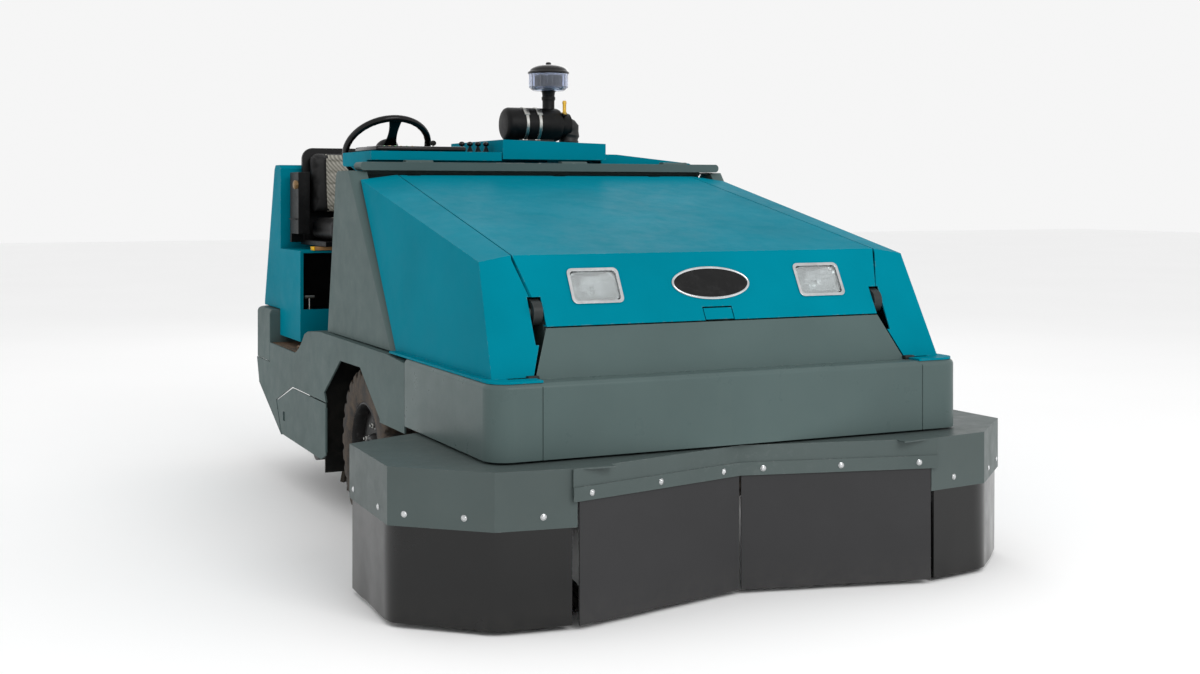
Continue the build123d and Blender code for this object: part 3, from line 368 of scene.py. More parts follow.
def fins():
    """Pressed aluminium cooling core, with painted shade in the gaps between its fins."""
    look = Look("cooling_core", Metallic=0.8)
    ribs = look.wave(62)
    # dark stripes are painted shade in the gaps between the fins, light stripes the fins' faces
    base = look.blend(ribs, linear(52, 52, 52), linear(150, 150, 148))
    look.bump(ribs, 0.8, 0.003)
    return look.done(base, look.span(look.noise(40), 0.3, 0.7, 0.35, 0.6))


def metal(name, colour, roughness, scratch=0.15, stretch=(1, 1, 30)):
    """Bare or plated metal with fine drawn scratches."""
    look = Look(name, Metallic=1.0)
    lines = look.noise(70, 5, 0.7, stretch=stretch)
    spots = look.noise(18, 5, 0.7)
    dull = tuple(c * 0.7 for c in colour[:3]) + (1,)
    base = look.blend(look.span(spots, 0.4, 0.75), colour, dull)
    look.bump(lines, scratch, 0.0004)
    return look.done(base, look.span(lines, 0.3, 0.7, roughness, roughness + 0.14))


def plastic(name, colour, roughness=0.5, grain=0.3, coat=0.0):
    """Fine-grained moulding, scuffed here and there."""
    look = Look(name, Specular_IOR_Level=0.18, Coat_Weight=coat, Coat_Roughness=0.15)
    scuff = look.noise(23, 6, 0.75)
    light = tuple(min(1, c * 1.7 + 0.01) for c in colour[:3]) + (1,)
    base = look.blend(look.span(scuff, 0.5, 0.8, 0.0, 0.7), colour, light)
    look.bump(look.cells(900), grain, 0.0004)
    return look.done(base, look.span(scuff, 0.3, 0.75, roughness - 0.06, roughness + 0.14))


def sheet_rubber(name, colour, roughness, strength=0.3, dust=0.2, shine=0.4):
    """Rubber sheet: smooth, with faint moulding streaks and dust along its foot."""
    look = Look(name, Specular_IOR_Level=shine)
    cloud = look.noise(5, 5, 0.65)
    fine = look.noise(300, 4, 0.7)
    lift = tuple(c * 1.2 + 0.002 for c in colour[:3]) + (1,)
    base = look.blend(look.span(cloud, 0.35, 0.7), colour, lift)
    film = look.sum("MULTIPLY", look.span(look.height(), 0.10, 0.01),
                    look.span(look.noise(30, 6, 0.7), 0.35, 0.65, 0.0, dust))
    base = look.blend(film, base, linear(96, 92, 86))
    scrape = look.noise(26, 4, 0.7, stretch=(1, 1, 0.12))
    base = look.blend(look.span(scrape, 0.6, 0.75, 0.0, 0.12), base, lift)
    look.bump(fine, strength, 0.0005)
    look.bump(look.noise(9, 2), 0.12, 0.006)
    return look.done(base, look.span(cloud, 0.25, 0.75, roughness - 0.08, roughness + 0.12))


def tyre_rubber():
    """Worn solid tyre, brown with dust in its grooves."""
    look = Look("tyre_rubber")
    dirt = look.noise(24, 6, 0.75)
    base = look.blend(look.span(dirt, 0.4, 0.68), linear(26, 24, 22), linear(82, 70, 58))
    look.bump(look.noise(130, 5, 0.7), 0.5, 0.0015)
    return look.done(base, look.span(dirt, 0.3, 0.7, 0.7, 0.92))


def vinyl(name, colour, ribbed=False):
    """Grained seat vinyl, with woven diagonal ribs on the insert, their crests lightened as
    painted highlight.
    """
    look = Look(name, Specular_IOR_Level=0.3)
    grain = look.cells(620)
    wear = look.noise(12, 5, 0.7)
    light = tuple(min(1, c * 1.6 + 0.01) for c in colour[:3]) + (1,)
    base = look.blend(look.span(wear, 0.4, 0.75), colour, light)
    if ribbed:
        ribs_and_highlight = look.wave(34, turn=(0, 0.8, 0.6))
        # woven ribs with a pale tone on their crests: painted highlight
        base = look.blend(look.span(ribs_and_highlight, 0.4, 0.7, 0.0, 0.55), base, linear(178, 175, 164))
        look.bump(ribs_and_highlight, 0.45, 0.002)
    look.bump(grain, 0.35, 0.0006)
    look.bump(look.noise(7, 3), 0.2, 0.006)
    return look.done(base, look.span(wear, 0.3, 0.7, 0.42, 0.62))


def bristle(name, dark, light):
    """Stiff synthetic bristle, streaked along its length."""
    look = Look(name)
    streak = look.noise(240, 4, 0.7)
    base = look.blend(look.span(streak, 0.35, 0.65), dark, light)
    look.bump(streak, 0.5, 0.001)
    return look.done(base, look.span(streak, 0.2, 0.8, 0.6, 0.85))


def paper():
    """Pleated filter paper, dusty."""
    look = Look("filter_paper")
    fibre = look.noise(500, 5, 0.8)
    base = look.blend(look.span(look.noise(12, 5), 0.4, 0.7), linear(205, 190, 150),
                      linear(130, 118, 96))
    look.bump(fibre, 0.4, 0.0006)
    return look.done(base, look.span(fibre, 0, 1, 0.8, 0.95))


def clear(name, tint, roughness, through=1.0, haze=0.0):
    """Clear moulding with a little haze."""
    look = Look(name, IOR=1.49, Transmission_Weight=through)
    cloud = look.noise(60, 4, 0.6)
    shade = tuple(c * 0.9 for c in tint[:3]) + (1,)
    base = look.blend(look.span(cloud, 0.4, 0.7), tint, shade)
    look.bump(look.noise(90, 3), haze, 0.0006)
    return look.done(base, look.span(cloud, 0.3, 0.7, roughness, roughness + 0.08))


grit = gritty()
casting = cast()
core = fins()
steel = metal("bright_steel", linear(176, 176, 172), 0.28)
chrome = metal("plated_trim", linear(205, 207, 208), 0.08, scratch=0.05)
mirror_foil = metal("lamp_foil", linear(225, 228, 230), 0.12, scratch=0.02)
black_plastic = plastic("black_moulding", linear(12, 12, 13), 0.42)
gloss_black = plastic("gloss_moulding", linear(7, 7, 8), 0.2, grain=0.06, coat=0.2)
gauge_face = plastic("gauge_face", linear(40, 42, 44), 0.3, grain=0.1, coat=0.8)
pod_rubber = sheet_rubber("pod_rubber", linear(5, 5, 5), 0.2, 0.08, 0.06, 0.42)
flap_rubber = sheet_rubber("flap_rubber", linear(47, 47, 48), 0.66, 0.3, 0.10, 0.3)
rim_black = paint("rim_enamel", linear(16, 16, 17), linear(58, 50, 42), shine=0.3, dust=0.3)
boot_rubber = sheet_rubber("boot_rubber", linear(20, 20, 20), 0.5)
tread = tyre_rubber()
seat_vinyl = vinyl("seat_vinyl", linear(9, 9, 10))
seat_insert = vinyl("seat_insert", linear(112, 110, 102), ribbed=True)
side_bristle = bristle("side_bristle", linear(24, 24, 24), linear(64, 62, 58))
main_bristle = bristle("main_bristle", linear(34, 30, 26), linear(86, 78, 66))
filter_paper = paper()
bowl_clear = clear("clear_bowl", (0.72, 0.78, 0.95, 1), 0.06, 0.94, 0.05)
lamp_clear = clear("fluted_glass", (0.80, 0.84, 0.84, 1), 0.14, 0.8, 0.08)
amber = clear("amber_lens", (0.9, 0.55, 0.06, 1), 0.12, 0.5)


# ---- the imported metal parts, with their edges rounded --------------------------------------
def refine(name, look, width):
    """Gives a CAD node its look and rounds its edges without touching its mesh."""
    piece = nodes[name]
    mesh = piece.data
    mesh.materials.clear()
    mesh.materials.append(look)
    if "custom_normal" in mesh.attributes:
        mesh.attributes.remove(mesh.attributes["custom_normal"])
    mesh.shade_smooth()
    weld = piece.modifiers.new("weld", "WELD")
    weld.merge_threshold = 0.00002
    flat = piece.modifiers.new("flat", "DECIMATE")
    flat.decimate_type = "DISSOLVE"
    flat.angle_limit = math.radians(0.6)
    edge = piece.modifiers.new("edge", "BEVEL")
    edge.width = width
    edge.segments = 2
    edge.limit_method = "ANGLE"
    edge.angle_limit = math.radians(32)
    edge.use_clamp_overlap = True
    normal = piece.modifiers.new("normal", "WEIGHTED_NORMAL")
    normal.weight = 100


REFINED = {
    teal: {"rear_housing": 0.003, "left_cover": 0.0018, "console_shell": 0.0018,
           "engine_cover": 0.0018, "hopper_lid": 0.0018, "hopper_sides": 0.0018,
           "lid_latch": 0.0012},
    grey: {"side_panels": 0.002, "rear_bumper": 0.003, "pillars": 0.003, "bulkhead": 0.0018,
           "hopper_bin": 0.0018, "brush_door_left": 0.0018, "brush_door_right": 0.0018},
    shaded_arm_grey: {"lift_arms": 0.002},
    bumper_grey: {"hopper_bumper": 0.0015},
    kit_grey: {"skirt_covers": 0.0018},
    black_paint: {"main_frame": 0.003, "steering_column": 0.001, "brush_hood": 0.0018,
                  "lift_barrels": 0.0018, "steer_yoke": 0.003, "main_brush_arm": 0.0018,
                  "side_brush_arm_left": 0.0018, "side_brush_arm_right": 0.0018},
    casting: {"engine": 0.004},
    core: {"radiator": 0.0015},
    black_plastic: {"tanks": 0.006, "seat_shell": 0.006},
    grit: {"step_floor": 0.0015},
    chrome: {"lift_rods": 0.001, "headlight_rims": 0.0008},
    filter_paper: {"dust_filter": 0.001},
}
for look, group in REFINED.items():
    for name, width in group.items():
        refine(name, look, width)

# ---- skirt kit ----------------------------------------------------------------------------
POD_PLAN = [(936, 486), (948, 126), (744, -62), (552, -90)]
POD_RADII = [0, 88, 118, 0]
SKIRT_FOOT, SKIRT_HEAD, SKIRT_THICK = 13.2, 320, 8
FLAP_FOOT, FLAP_HEAD, FLAP_THICK = 13.4, 344, 5
FLAP_PLAN = ((4, 24.2), (537, -105.2))
FOOT_BEAD = Vector((0, 0, 0.0012))


def hanging(path, foot, head, thick, sway, rises):
    """Rubber sheet hung from its top edge along a plan path, with a bead at the foot."""
    shape = Shape()
    count = len(path)
    normals = []
    for index in range(count):
        run = path[min(index + 1, count - 1)] - path[max(index - 1, 0)]
        normals.append(Vector((run.y, -run.x)).normalized())
    outer, inner = [], []
    for step in range(rises + 1):
        height = head + (foot - head) * (step / rises)
        hang = (head - height) / (head - foot)
        outer.append([])
        inner.append([])
        for index, point in enumerate(path):
            lean = sway(index / (count - 1), hang)
            first = point + normals[index] * (lean + thick / 2)
            last = point + normals[index] * (lean - thick / 2)
            outer[-1].append(spot(first.x, first.y, height))
            inner[-1].append(spot(last.x, last.y, height))
    bead = [a.lerp(b, 0.5) - FOOT_BEAD for a, b in zip(outer[-1], inner[-1])]
    loop = outer + [bead] + list(reversed(inner))
    shape.grid(loop, round_v=True)
    for end in (0, count - 1):
        ring = [row[end] for row in loop]
        shape.add(ring, [tuple(range(len(ring)))])
    return shape


def pod(side):
    """Skirt round one side brush."""
    plan = [Vector(p) for p in rounded(POD_PLAN, POD_RADII, 12)]
    path = [Vector((side * p.x, p.y)) for p in spaced(plan, 14)]

    def sway(along, hang):
        slack = 1.3 * math.sin(along * 15 + 1.2 * side) + 0.9 * math.sin(along * 37 + 2)
        return side * (-SKIRT_THICK / 2 - 1.5 + slack * hang * hang)

    def mirrored(along, hang):
        return -sway(1 - along, hang)

    if side < 0:
        path.reverse()
    return hanging(path, SKIRT_FOOT, SKIRT_HEAD, SKIRT_THICK, mirrored if side < 0 else sway, 14)


def flap(side):
    """Flat sheet under one half of the front bumper."""
    ends = [Vector((side * x, behind)) for x, behind in FLAP_PLAN]

    def sway(along, hang):
        wave = 1.6 * math.sin(along * 7 + side) + 0.8 * math.sin(along * 19 + 2 * side)
        return wave * hang ** 1.5 * (0.6 if hang < 1 else 0.8)

    return hanging(spaced(ends, 16), FLAP_FOOT, FLAP_HEAD, FLAP_THICK, sway, 18)


pod(1).join(pod(-1)).make("pod_skirt_rubber", pod_rubber, "chassis", ("pod_skirts",), "rubber")
flap(-1).join(flap(1)).make("front_flap_rubber", flap_rubber, "chassis", ("front_flaps",),
                            "rubber")

COVER_PLAN = [(950, 500), (962, 120), (750, -75), (540, -105)]
BOLT_ROWS = [(COVER_PLAN[1], COVER_PLAN[0], (0.22, 0.88), 288),
             (COVER_PLAN[2], COVER_PLAN[1], (0.28, 0.84), 288),
             (COVER_PLAN[3], COVER_PLAN[2], (0.42,), 288),
             ((0, 18), (556, -117), (0.11, 0.5, 0.9), 340)]
BOLT_PROFILE = [(0, 0), (8, 0), (8, 1.0), (7.4, 1.4), (6.6, 1.5), (6.3, 2.4), (5.0, 3.6),
                (2.6, 4.3), (0, 4.5)]


def bolts(side):
    """Carriage bolts' heads along one side's plates and flap."""
    shape = Shape()
    for start, stop, places, height in BOLT_ROWS:
        run = Vector((stop[0] - start[0], stop[1] - start[1])).normalized()
        out = Vector((run.y * side, -run.x, 0))
        for place in places:
            x = side * (start[0] + (stop[0] - start[0]) * place)
            behind = start[1] + (stop[1] - start[1]) * place
            shape.lathe(BOLT_PROFILE, spot(x, behind, height), out, 20)
    return shape


bolts(1).join(bolts(-1)).make("kit_bolts", chrome, "chassis", ("skirt_bolts",), "chrome")

# ---- lamps, badge and latch on the lid ------------------------------------------------------
LID_LOW = (129, 736)
LID_TILT = math.atan2(232 - 129, 921 - 736)
LID_OUT = Vector((0, -math.cos(LID_TILT), math.sin(LID_TILT)))
LID_UP = Vector((0, math.sin(LID_TILT), math.cos(LID_TILT)))
LAMP_X, LAMP_Z, BADGE_Z = 358, 836, 835
LAMP_HALF, LAMP_CORNER = (67.6, 43.6), 7
LAMP_ROWS, LAMP_COLUMNS = 44, 66
BADGE_A, BADGE_B, BADGE_RIM = 124, 51, 6.8


def on_lid(x, height):
    """Point on the lid's front face."""
    return spot(x, LID_LOW[0] + (height - LID_LOW[1]) * math.tan(LID_TILT), height)


def superoval(u, v):
    """Pulls a point of the unit square onto a soft-cornered rectangle."""
    size = max(abs(u), abs(v))
    if size < 1e-9:
        return 0.0, 0.0
    scale = size / (abs(u) ** LAMP_CORNER + abs(v) ** LAMP_CORNER) ** (1 / LAMP_CORNER)
    return u * scale, v * scale


def lamp_plate(shape, centre, depth_of):
    """Grid across a lamp's opening; depth_of gives its height above the lid's face."""
    rows = []
    for j in range(LAMP_ROWS + 1):
        row = []
        for i in range(LAMP_COLUMNS + 1):
            u, v = superoval(2 * i / LAMP_COLUMNS - 1, 2 * j / LAMP_ROWS - 1)
            row.append(centre + Vector((u * LAMP_HALF[0] * MM, 0, 0))
                       + LID_UP * v * LAMP_HALF[1] * MM + LID_OUT * depth_of(u, v) * MM)
        rows.append(row)
    shape.grid(rows)
    return rows


lenses, foils = Shape(), Shape()
for side in (-1, 1):
    centre = on_lid(side * LAMP_X, LAMP_Z)
    front = lamp_plate(lenses, centre, lambda u, v: -1.6 + 1.2 * (1 - u * u) * (1 - v * v))
    back = lamp_plate(lenses, centre, lambda u, v: -5.2 + 1.1 * abs(math.sin(u * 21))
                      + (0.7 if abs(v * 3 - round(v * 3)) < 0.08 else 0))
    for ring in (lambda rows: rows[0], lambda rows: rows[-1], lambda rows: [r[0] for r in rows],
                 lambda rows: [r[-1] for r in rows]):
        lenses.grid([ring(front), ring(back)])
    lamp_plate(foils, centre, lambda u, v: 40 * min(1, u * u * 0.9 + v * v * 0.5) ** 0.9 - 50)
    foils.lathe([(0, 0), (9, 0), (11, 6), (11, 20), (6, 28), (0, 30)], centre - LID_OUT * 0.046,
                LID_OUT, 24, 1)
lenses.make("lamp_lenses", lamp_clear, "hopper_lid", ("headlight_lenses",), "lamp_glass")
foils.make("lamp_foils", [mirror_foil, lamp_clear], "hopper_lid", (), "chrome")


def oval(half_width, half_height, lift):
    """Ring of points round the badge's middle, at a height above the lid's face."""
    return [on_lid(0, BADGE_Z) + Vector((half_width * MM * math.cos(t), 0, 0))
            + LID_UP * half_height * MM * math.sin(t) + LID_OUT * lift * MM
            for t in (math.tau * s / 96 for s in range(96))]


badge = Shape()
RIM_PROFILE = [(0, 0.2), (0, 2.6), (1.5, 4.2), (3.5, 4.8), (5.5, 4.2), (7, 2.8)]  # inset, height
badge.grid([oval(BADGE_A - inset, BADGE_B - inset, lift) for inset, lift in RIM_PROFILE],
           round_u=True)
rows = []
for ring in range(11):
    share = 1 - ring / 10
    lift = 1.6 + 1.9 * (1 - share * share) - (0.5 if ring == 2 else 0)
    rows.append(oval((BADGE_A - BADGE_RIM) * share, (BADGE_B - BADGE_RIM) * share, lift))
badge.grid(rows, 1, round_u=True)
badge.make("oval_badge", [chrome, gloss_black], "hopper_lid", ("lid_badge",), "gloss_black")

# ---- wheels -------------------------------------------------------------------------------
TREAD_LUGS, DISH_THICK = 28, 10
STUDS, STUD_CIRCLE = 5, 0.074
GROOVE_DEPTHS = {4: 9, 5: 15, 6: 17, 7: 17, 8: 16, 9: 12, 11: 7}   # by the profile's points
CENTRE_GROOVE = 11


def wheel(name, x, behind, radius, width, rim, outward, body):
    """Solid tyre with shoulder lugs on a dished five-stud rim."""
    hub = spot(x, behind, radius)
    half = width / 2
    tyre = Shape()
    profile = [(rim + 1, half - 8), (rim + 12, half - 3), (radius * 0.78, half),
               (radius * 0.80, half), (radius * 0.88, half - 1), (radius * 0.95, half - 4),
               (radius * 0.98, half - 10), (radius - 1, half - 20), (radius, half - 34),
               (radius, half - 48), (radius, 9), (radius, 3)]
    profile += [(r, -h) for r, h in reversed(profile)]
    profile.append((rim + 1, -half + 8))
    last = len(profile) - 1

    def lug(angle, index):
        mirrored = min(index, last - 1 - index)
        if mirrored < 3 or index == last:
            return 0
        side = 1 if index < last / 2 else -1
        phase = (angle / math.tau * TREAD_LUGS + (0.25 if side > 0 else -0.25)
                 + mirrored * 0.05) % 1
        groove = 0.5 - 0.5 * math.tanh((abs(phase - 0.5) - 0.17) * 30)
        depth = GROOVE_DEPTHS.get(mirrored, 0)
        return -depth if mirrored == CENTRE_GROOVE else -depth * groove

    tyre.lathe(profile, hub, ACROSS, TREAD_LUGS * 12, 0, lug)
    web = outward * (half - 46)
    band = [(rim, half - 10), (rim + 1, half - 6), (rim - 5, half - 6), (rim - 9, half - 14),
            (rim - 11, 16 - half), (rim - 5, 6 - half), (rim, 8 - half)]
    tyre.lathe(band, hub, ACROSS, 64, 1, loop=True)
    dish = [(rim - 9, -4), (rim - 22, -2), (rim - 34, 6), (88, 9), (62, 4), (50, 4), (46, 16),
            (40, 24), (22, 27), (0, 27)]
    for back in (0, DISH_THICK):
        tyre.lathe([(min(r, rim - 9), web + outward * (h - back)) for r, h in dish], hub, ACROSS,
                   64, 1)
    for stud in range(STUDS):
        turn = math.radians(90 + stud * 360 / STUDS)
        head = hub + Vector((web * MM, math.cos(turn) * STUD_CIRCLE,
                             math.sin(turn) * STUD_CIRCLE)) + ACROSS * outward * 0.004
        tyre.lathe([(13, 0), (13, 2), (9.5, 3), (9.5, 10), (8, 12), (5, 12), (5, 18), (0, 19)],
                   head, ACROSS * outward, 6, 2)
    tyre.make(name, [tread, rim_black, steel], body, (body,), "tyre")


wheel("drive_wheel_left", 613, 1213, 262, 178, 150, 1, "front_wheel_left")
wheel("drive_wheel_right", -613, 1213, 262, 178, 150, -1, "front_wheel_right")
wheel("steer_wheel_rear", 0, 2300, 230, 150, 125, -1, "rear_wheel")

# ---- steering wheel and horn ----------------------------------------------------------------
TILT = math.radians(44)
HUB = spot(-438, 1800, 1248)
HUB_AXIS = Vector((0, math.sin(TILT), math.cos(TILT)))
HUB_UP = HUB_AXIS.cross(ACROSS)
RIM_R, RIM_THICK, FINGER_RIBS = 152, 12, 30
SPOKE_FOOT, SPOKE_RUN, SPOKE_STEPS = 34, 112, 12


def on_wheel(u, v, lift):
    """Point from distances in the steering wheel's plane and above it."""
    return HUB + (ACROSS * u + HUB_UP * v + HUB_AXIS * lift) * MM


steer = Shape()
ring = []
for s in range(120):
    angle = math.tau * s / 120
    grip = 0.9 * max(0.0, math.cos(angle * FINGER_RIBS)) ** 2
    row = []
    for t in (math.tau * k / 16 for k in range(16)):
        reach = RIM_R + math.cos(t) * (RIM_THICK + grip * (math.cos(t) < 0.3))
        row.append(on_wheel(reach * math.cos(angle), reach * math.sin(angle),
                            math.sin(t) * (RIM_THICK + 0.4)))
    ring.append(row)
steer.grid(ring, 0, round_u=True, round_v=True)
for spoke in range(3):
    angle = math.radians(270 + 120 * spoke)
    rows = []
    out = Vector((math.cos(angle), math.sin(angle)))
    for share in (step / SPOKE_STEPS for step in range(SPOKE_STEPS + 1)):
        wide = 17 + 9 * (2 * share - 1) ** 2
        drop = 15 * share ** 1.6 - 16
        row = []
        for k in range(14):
            t = math.tau * k / 14
            across = wide * math.copysign(abs(math.cos(t)) ** 0.6, math.cos(t))
            lift = drop + 5 * math.copysign(abs(math.sin(t)) ** 0.7, math.sin(t))
            point = out * (SPOKE_FOOT + SPOKE_RUN * share) + Vector((-out.y, out.x)) * across
            row.append(on_wheel(point.x, point.y, lift))
        rows.append(row)
    steer.grid(rows, 0, round_u=True)
steer.lathe([(18, -27), (30, -27), (38, -22), (43, -8), (43, 6), (40, 11), (34, 13.5),
             (23.5, 13.5), (22.5, 12), (22.5, 10), (18, 10)], HUB, HUB_AXIS, 48, 0, loop=True)
steer.make("steering_rim", gloss_black, "steering_wheel", ("steering_wheel",), "gloss_black")
horn = Shape()
horn.lathe([(0, 12.5), (20.8, 12.5), (21.6, 13.5), (21.6, 17), (20.4, 19.2), (18, 20.2),
            (16.8, 19.6), (12, 20.8), (5, 21.6), (0, 21.8)], HUB, HUB_AXIS, 48)
horn.make("horn_cap", black_plastic, "horn_button", ("horn_button",), "black_plastic")

# ---- console controls -----------------------------------------------------------------------
DIAL_AT, DIAL_Z, POINTER_AT = 1560, 1245, math.degrees(-0.7)
LEVER_X, LEVER_GAP, LEVER_AT = -266, 30, 1480
KEY_X, KEY_AT = -330, 1600
for index in range(4):
    boot = Shape()
    foot = spot(LEVER_X + index * LEVER_GAP, LEVER_AT, 1230)
    profile = [(0, 0), (11, 0)]
    for fold in range(4):
        base = 1.2 + fold * 4.6
        size = 11 - fold * 1.6
        profile += [(size, base + 0.8), (size, base + 1.8), (size - 2.2, base + 3.4)]
    profile += [(4.0, 20.2), (4.0, 21.5)]
    boot.lathe(profile, foot, UP, 28)
    knob = [(0, 20.5), (5, 20.8), (8.2, 22.2), (10.2, 25.0), (10.8, 28.0), (10.0, 31.6),
            (7.6, 34.6), (4.2, 36.4), (0, 36.9)]
    boot.lathe(knob, foot, UP, 28, 1)
    boot.lathe([(0, -23.5), (3.8, -23.5), (3.8, 1), (0, 1)], foot, UP, 12, 2)
    name = f"control_lever_{index + 1}"
    boot.make(f"lever_boot_{index + 1}", [boot_rubber, gloss_black, steel], name, (name,),
              "rubber")


def on_dial(x, radius, degrees, lift):
    """Point on a gauge's face, at an angle from straight ahead."""
    turn = math.radians(degrees)
    return spot(x + math.sin(turn) * radius, DIAL_AT + math.cos(turn) * radius, DIAL_Z + lift)


panel = Shape()
panel.block(spot(-604, 1386, 1228), spot(-284, 1640, 1245.5), 6, 0, 3)
for x in (-560, -505):
    dial = on_dial(x, 0, 0, 0)
    panel.lathe([(23, -1), (23.5, 2), (21.5, 3.6), (19.5, 3), (19, 1.2)], dial, UP, 40, 1)
    panel.lathe([(19.2, 1.3), (10, 1.4), (0, 1.4)], dial, UP, 40, 2)
    for tick in range(9):
        panel.tube([on_dial(x, 14.5, tick * 30 - 120, 1.6),
                    on_dial(x, 17.8, tick * 30 - 120, 1.6)], 0.4, 4, 1)
    panel.tube([on_dial(x, 0, 0, 2), on_dial(x, 15, POINTER_AT, 2)], 0.6, 4, 3)
for column in range(4):
    x = -560 + column * 44
    panel.block(spot(x - 11, 1488, 1244.5), spot(x + 11, 1514, 1246.2), 1, 1)
    panel.block(spot(x - 8, 1491, 1245.5), spot(x + 8, 1511, 1248.6), 1.5, 4, 2,
                Matrix.Rotation(math.radians(5), 3, "X"))
for column in range(6):
    panel.lathe([(4.5, 0), (4.5, 1.2), (3.4, 2.4), (0, 3)],
                spot(-560 + column * 20, 1440, 1245.3), UP, 20, 3 if column % 2 else 5)
panel.lathe([(8.8, 0), (15, 0), (15, 1.6), (12.5, 3), (9.2, 3), (8.8, 0)],
            spot(KEY_X, KEY_AT, DIAL_Z), UP, 36, 1)
panel.make("instrument_panel", [gloss_black, chrome, gauge_face, amber, black_plastic,
                                clear("green_lens", (0.1, 0.6, 0.2, 1), 0.15, 0.4)], "chassis",
           ("console_top",), "black_plastic")

key = Shape()
barrel = [(0, 1231), (7.2, 1231), (7.2, 1250.5), (6, 1251.5), (0, 1251.5)]
key.lathe(barrel, spot(KEY_X, KEY_AT, 0), UP, 32)
bow = metres((math.cos(t) * 11.5, math.sin(t) * 9.5)
             for t in (math.tau * k / 24 for k in range(24)))
key.solid(bow, spot(KEY_X, KEY_AT - 1.6, 1263.5), ACROSS, UP, -0.0032, 0.8, 1)
key.block(spot(KEY_X - 3, KEY_AT - 1.2, 1251), spot(KEY_X + 3, KEY_AT + 1.2, 1256), 0.5)
key.make("key_bow", [steel, black_plastic], "ignition_key", ("ignition_key",), "steel")

# ---- foot controls --------------------------------------------------------------------------
pedal = Shape()
slope = Matrix.Rotation(math.radians(-12.3), 3, "X")
pedal.block(spot(-498, 1606, 572), spot(-422, 1717, 580), 2, 0, 2, slope)
for rib in range(10):
    along = 1611 + rib * 11
    lift = 586 - (along - 1606) * 24 / 110
    pedal.block(spot(-496, along, lift + 4), spot(-424, along + 6, lift + 8.2), 1.2, 1, 2, slope)
pedal.lathe([(0, -40), (9, -40), (9, 40), (0, 40)], spot(-460, 1660, 560), ACROSS, 28, 2)
pedal.block(spot(-470, 1653, 560), spot(-450, 1667, 574), 1)
pedal.make("drive_treadle", [black_paint, boot_rubber, steel], "direction_pedal",
           ("direction_pedal",), "frame_paint")

brake = Shape()
leg = metres(((0, 0), (12, 0), (40, 140), (28, 140)))
brake.solid(leg, spot(-565, 1560, 640), (0, 1, 0), UP, 0.010, 1.5)
pad = metres(((3, 0), (12, 0), (30, 72), (21, 75)))
brake.solid(pad, spot(-595, 1560, 600), (0, 1, 0), UP, 0.070, 2, 1)
for rib in range(6):
    lean = 5 + rib * 12
    brake.tube([spot(-592, 1561 + lean * 0.27, 600 + lean),
                spot(-528, 1561 + lean * 0.27, 600 + lean)], 1.6, 8, 1)
brake.lathe([(0, -11), (12, -11), (12, 11), (0, 11)], spot(-560, 1594, 780), ACROSS, 28, 2)
brake.make("brake_pad", [black_paint, boot_rubber, steel], "brake_pedal", ("brake_pedal",),
           "frame_paint")

park = Shape()
park.lathe([(0, -15), (14, -15), (14, 15), (0, 15)], spot(-105, 1880, 570), ACROSS, 32)
park.tube([spot(-105, 1880 - step * 1.9, 574 + step * 20) for step in range(11)], 6.8, 12)
grip = [(0, 0), (11, 2), (14, 10), (12.5, 22), (14, 34), (12.5, 46), (13.6, 56), (9, 62),
        (0, 64)]
park.lathe(grip, spot(-105, 1864, 752), (0, -0.093, 0.995), 28, 1)
park.make("parking_grip", [black_paint, boot_rubber], "parking_lever", ("parking_lever",),
          "frame_paint")

# ---- air cleaner ----------------------------------------------------------------------------
AIR_AT, AIR_Z = 2000, 1355
STEM_X, STEM_FOOT, BOWL_FOOT, CAP_FOOT = 288, 1398, 1490, 1557
BAND_PROFILE = [(63.6, 0), (67.4, 0.6), (68.6, 2), (68.6, 12), (67.4, 13.4), (63.6, 14)]
air = Shape()
body = [(0, 96), (46, 96), (54, 98), (62, 104), (66, 114), (66, 166), (63.5, 168), (63.5, 182),
        (66, 184), (66, 220), (63.5, 222), (63.5, 236), (66, 238), (66, 316), (62, 326),
        (54, 330), (51, 332), (51, 352), (47, 360), (47, 371), (0, 371)]
air.lathe(body, spot(0, AIR_AT, AIR_Z), ACROSS, 64)
for start in (168, 222):
    air.lathe([(r, start + h) for r, h in BAND_PROFILE], spot(0, AIR_AT, AIR_Z), ACROSS, 64, 1)
    for turn in (0.7, 2.4, 4.4):
        out = Vector((0, math.cos(turn), math.sin(turn)))
        place = spot(start + 7, AIR_AT, AIR_Z) + out * 0.0662
        tilt = Matrix.Rotation(turn - math.pi / 2, 3, "X")
        air.block(place - Vector((0.011, 0.013, 0.003)), place + Vector((0.011, 0.013, 0.003)),
                  1.5, 1, 2, tilt)
elbow = [spot(352, AIR_AT, AIR_Z), spot(366, AIR_AT, AIR_Z - 2), spot(380, AIR_AT, AIR_Z - 14),
         spot(380, AIR_AT, AIR_Z - 32), spot(376, AIR_AT, AIR_Z - 60),
         spot(372, AIR_AT, 1228)]
air.tube([p.copy() for p in spaced(elbow, 0.008)], lambda i: 37.5 + 2.2 * math.cos(i * 1.8), 28,
         2)
air.lathe([(40, 0), (41.5, 1), (41.5, 11), (40, 12)], spot(372, AIR_AT, 1240), UP, 40, 1)
stem = [(0, 0), (26, 0), (26, 6), (24, 10), (24, 54), (27, 56), (27, 68), (24, 70), (26, 86),
        (30, 92), (0, 92)]
air.lathe(stem, spot(STEM_X, AIR_AT, STEM_FOOT), UP, 40)
for x in (194, 226):
    air.block(spot(x, 1980, 1120), spot(x + 16, 2020, 1292), 2, 3)
air.block(spot(150, 1970, 1281), spot(300, 2030, 1298), 2, 3)
air.lathe([(0, 0), (9.5, 0), (9.5, 8), (7, 10), (7, 40), (8.5, 42), (8.5, 49), (6, 54), (0, 55)],
          spot(336, 1952, 1396), UP, 28, 4)
air.block(spot(326, 1945, 1390), spot(346, 1975, 1401), 2)
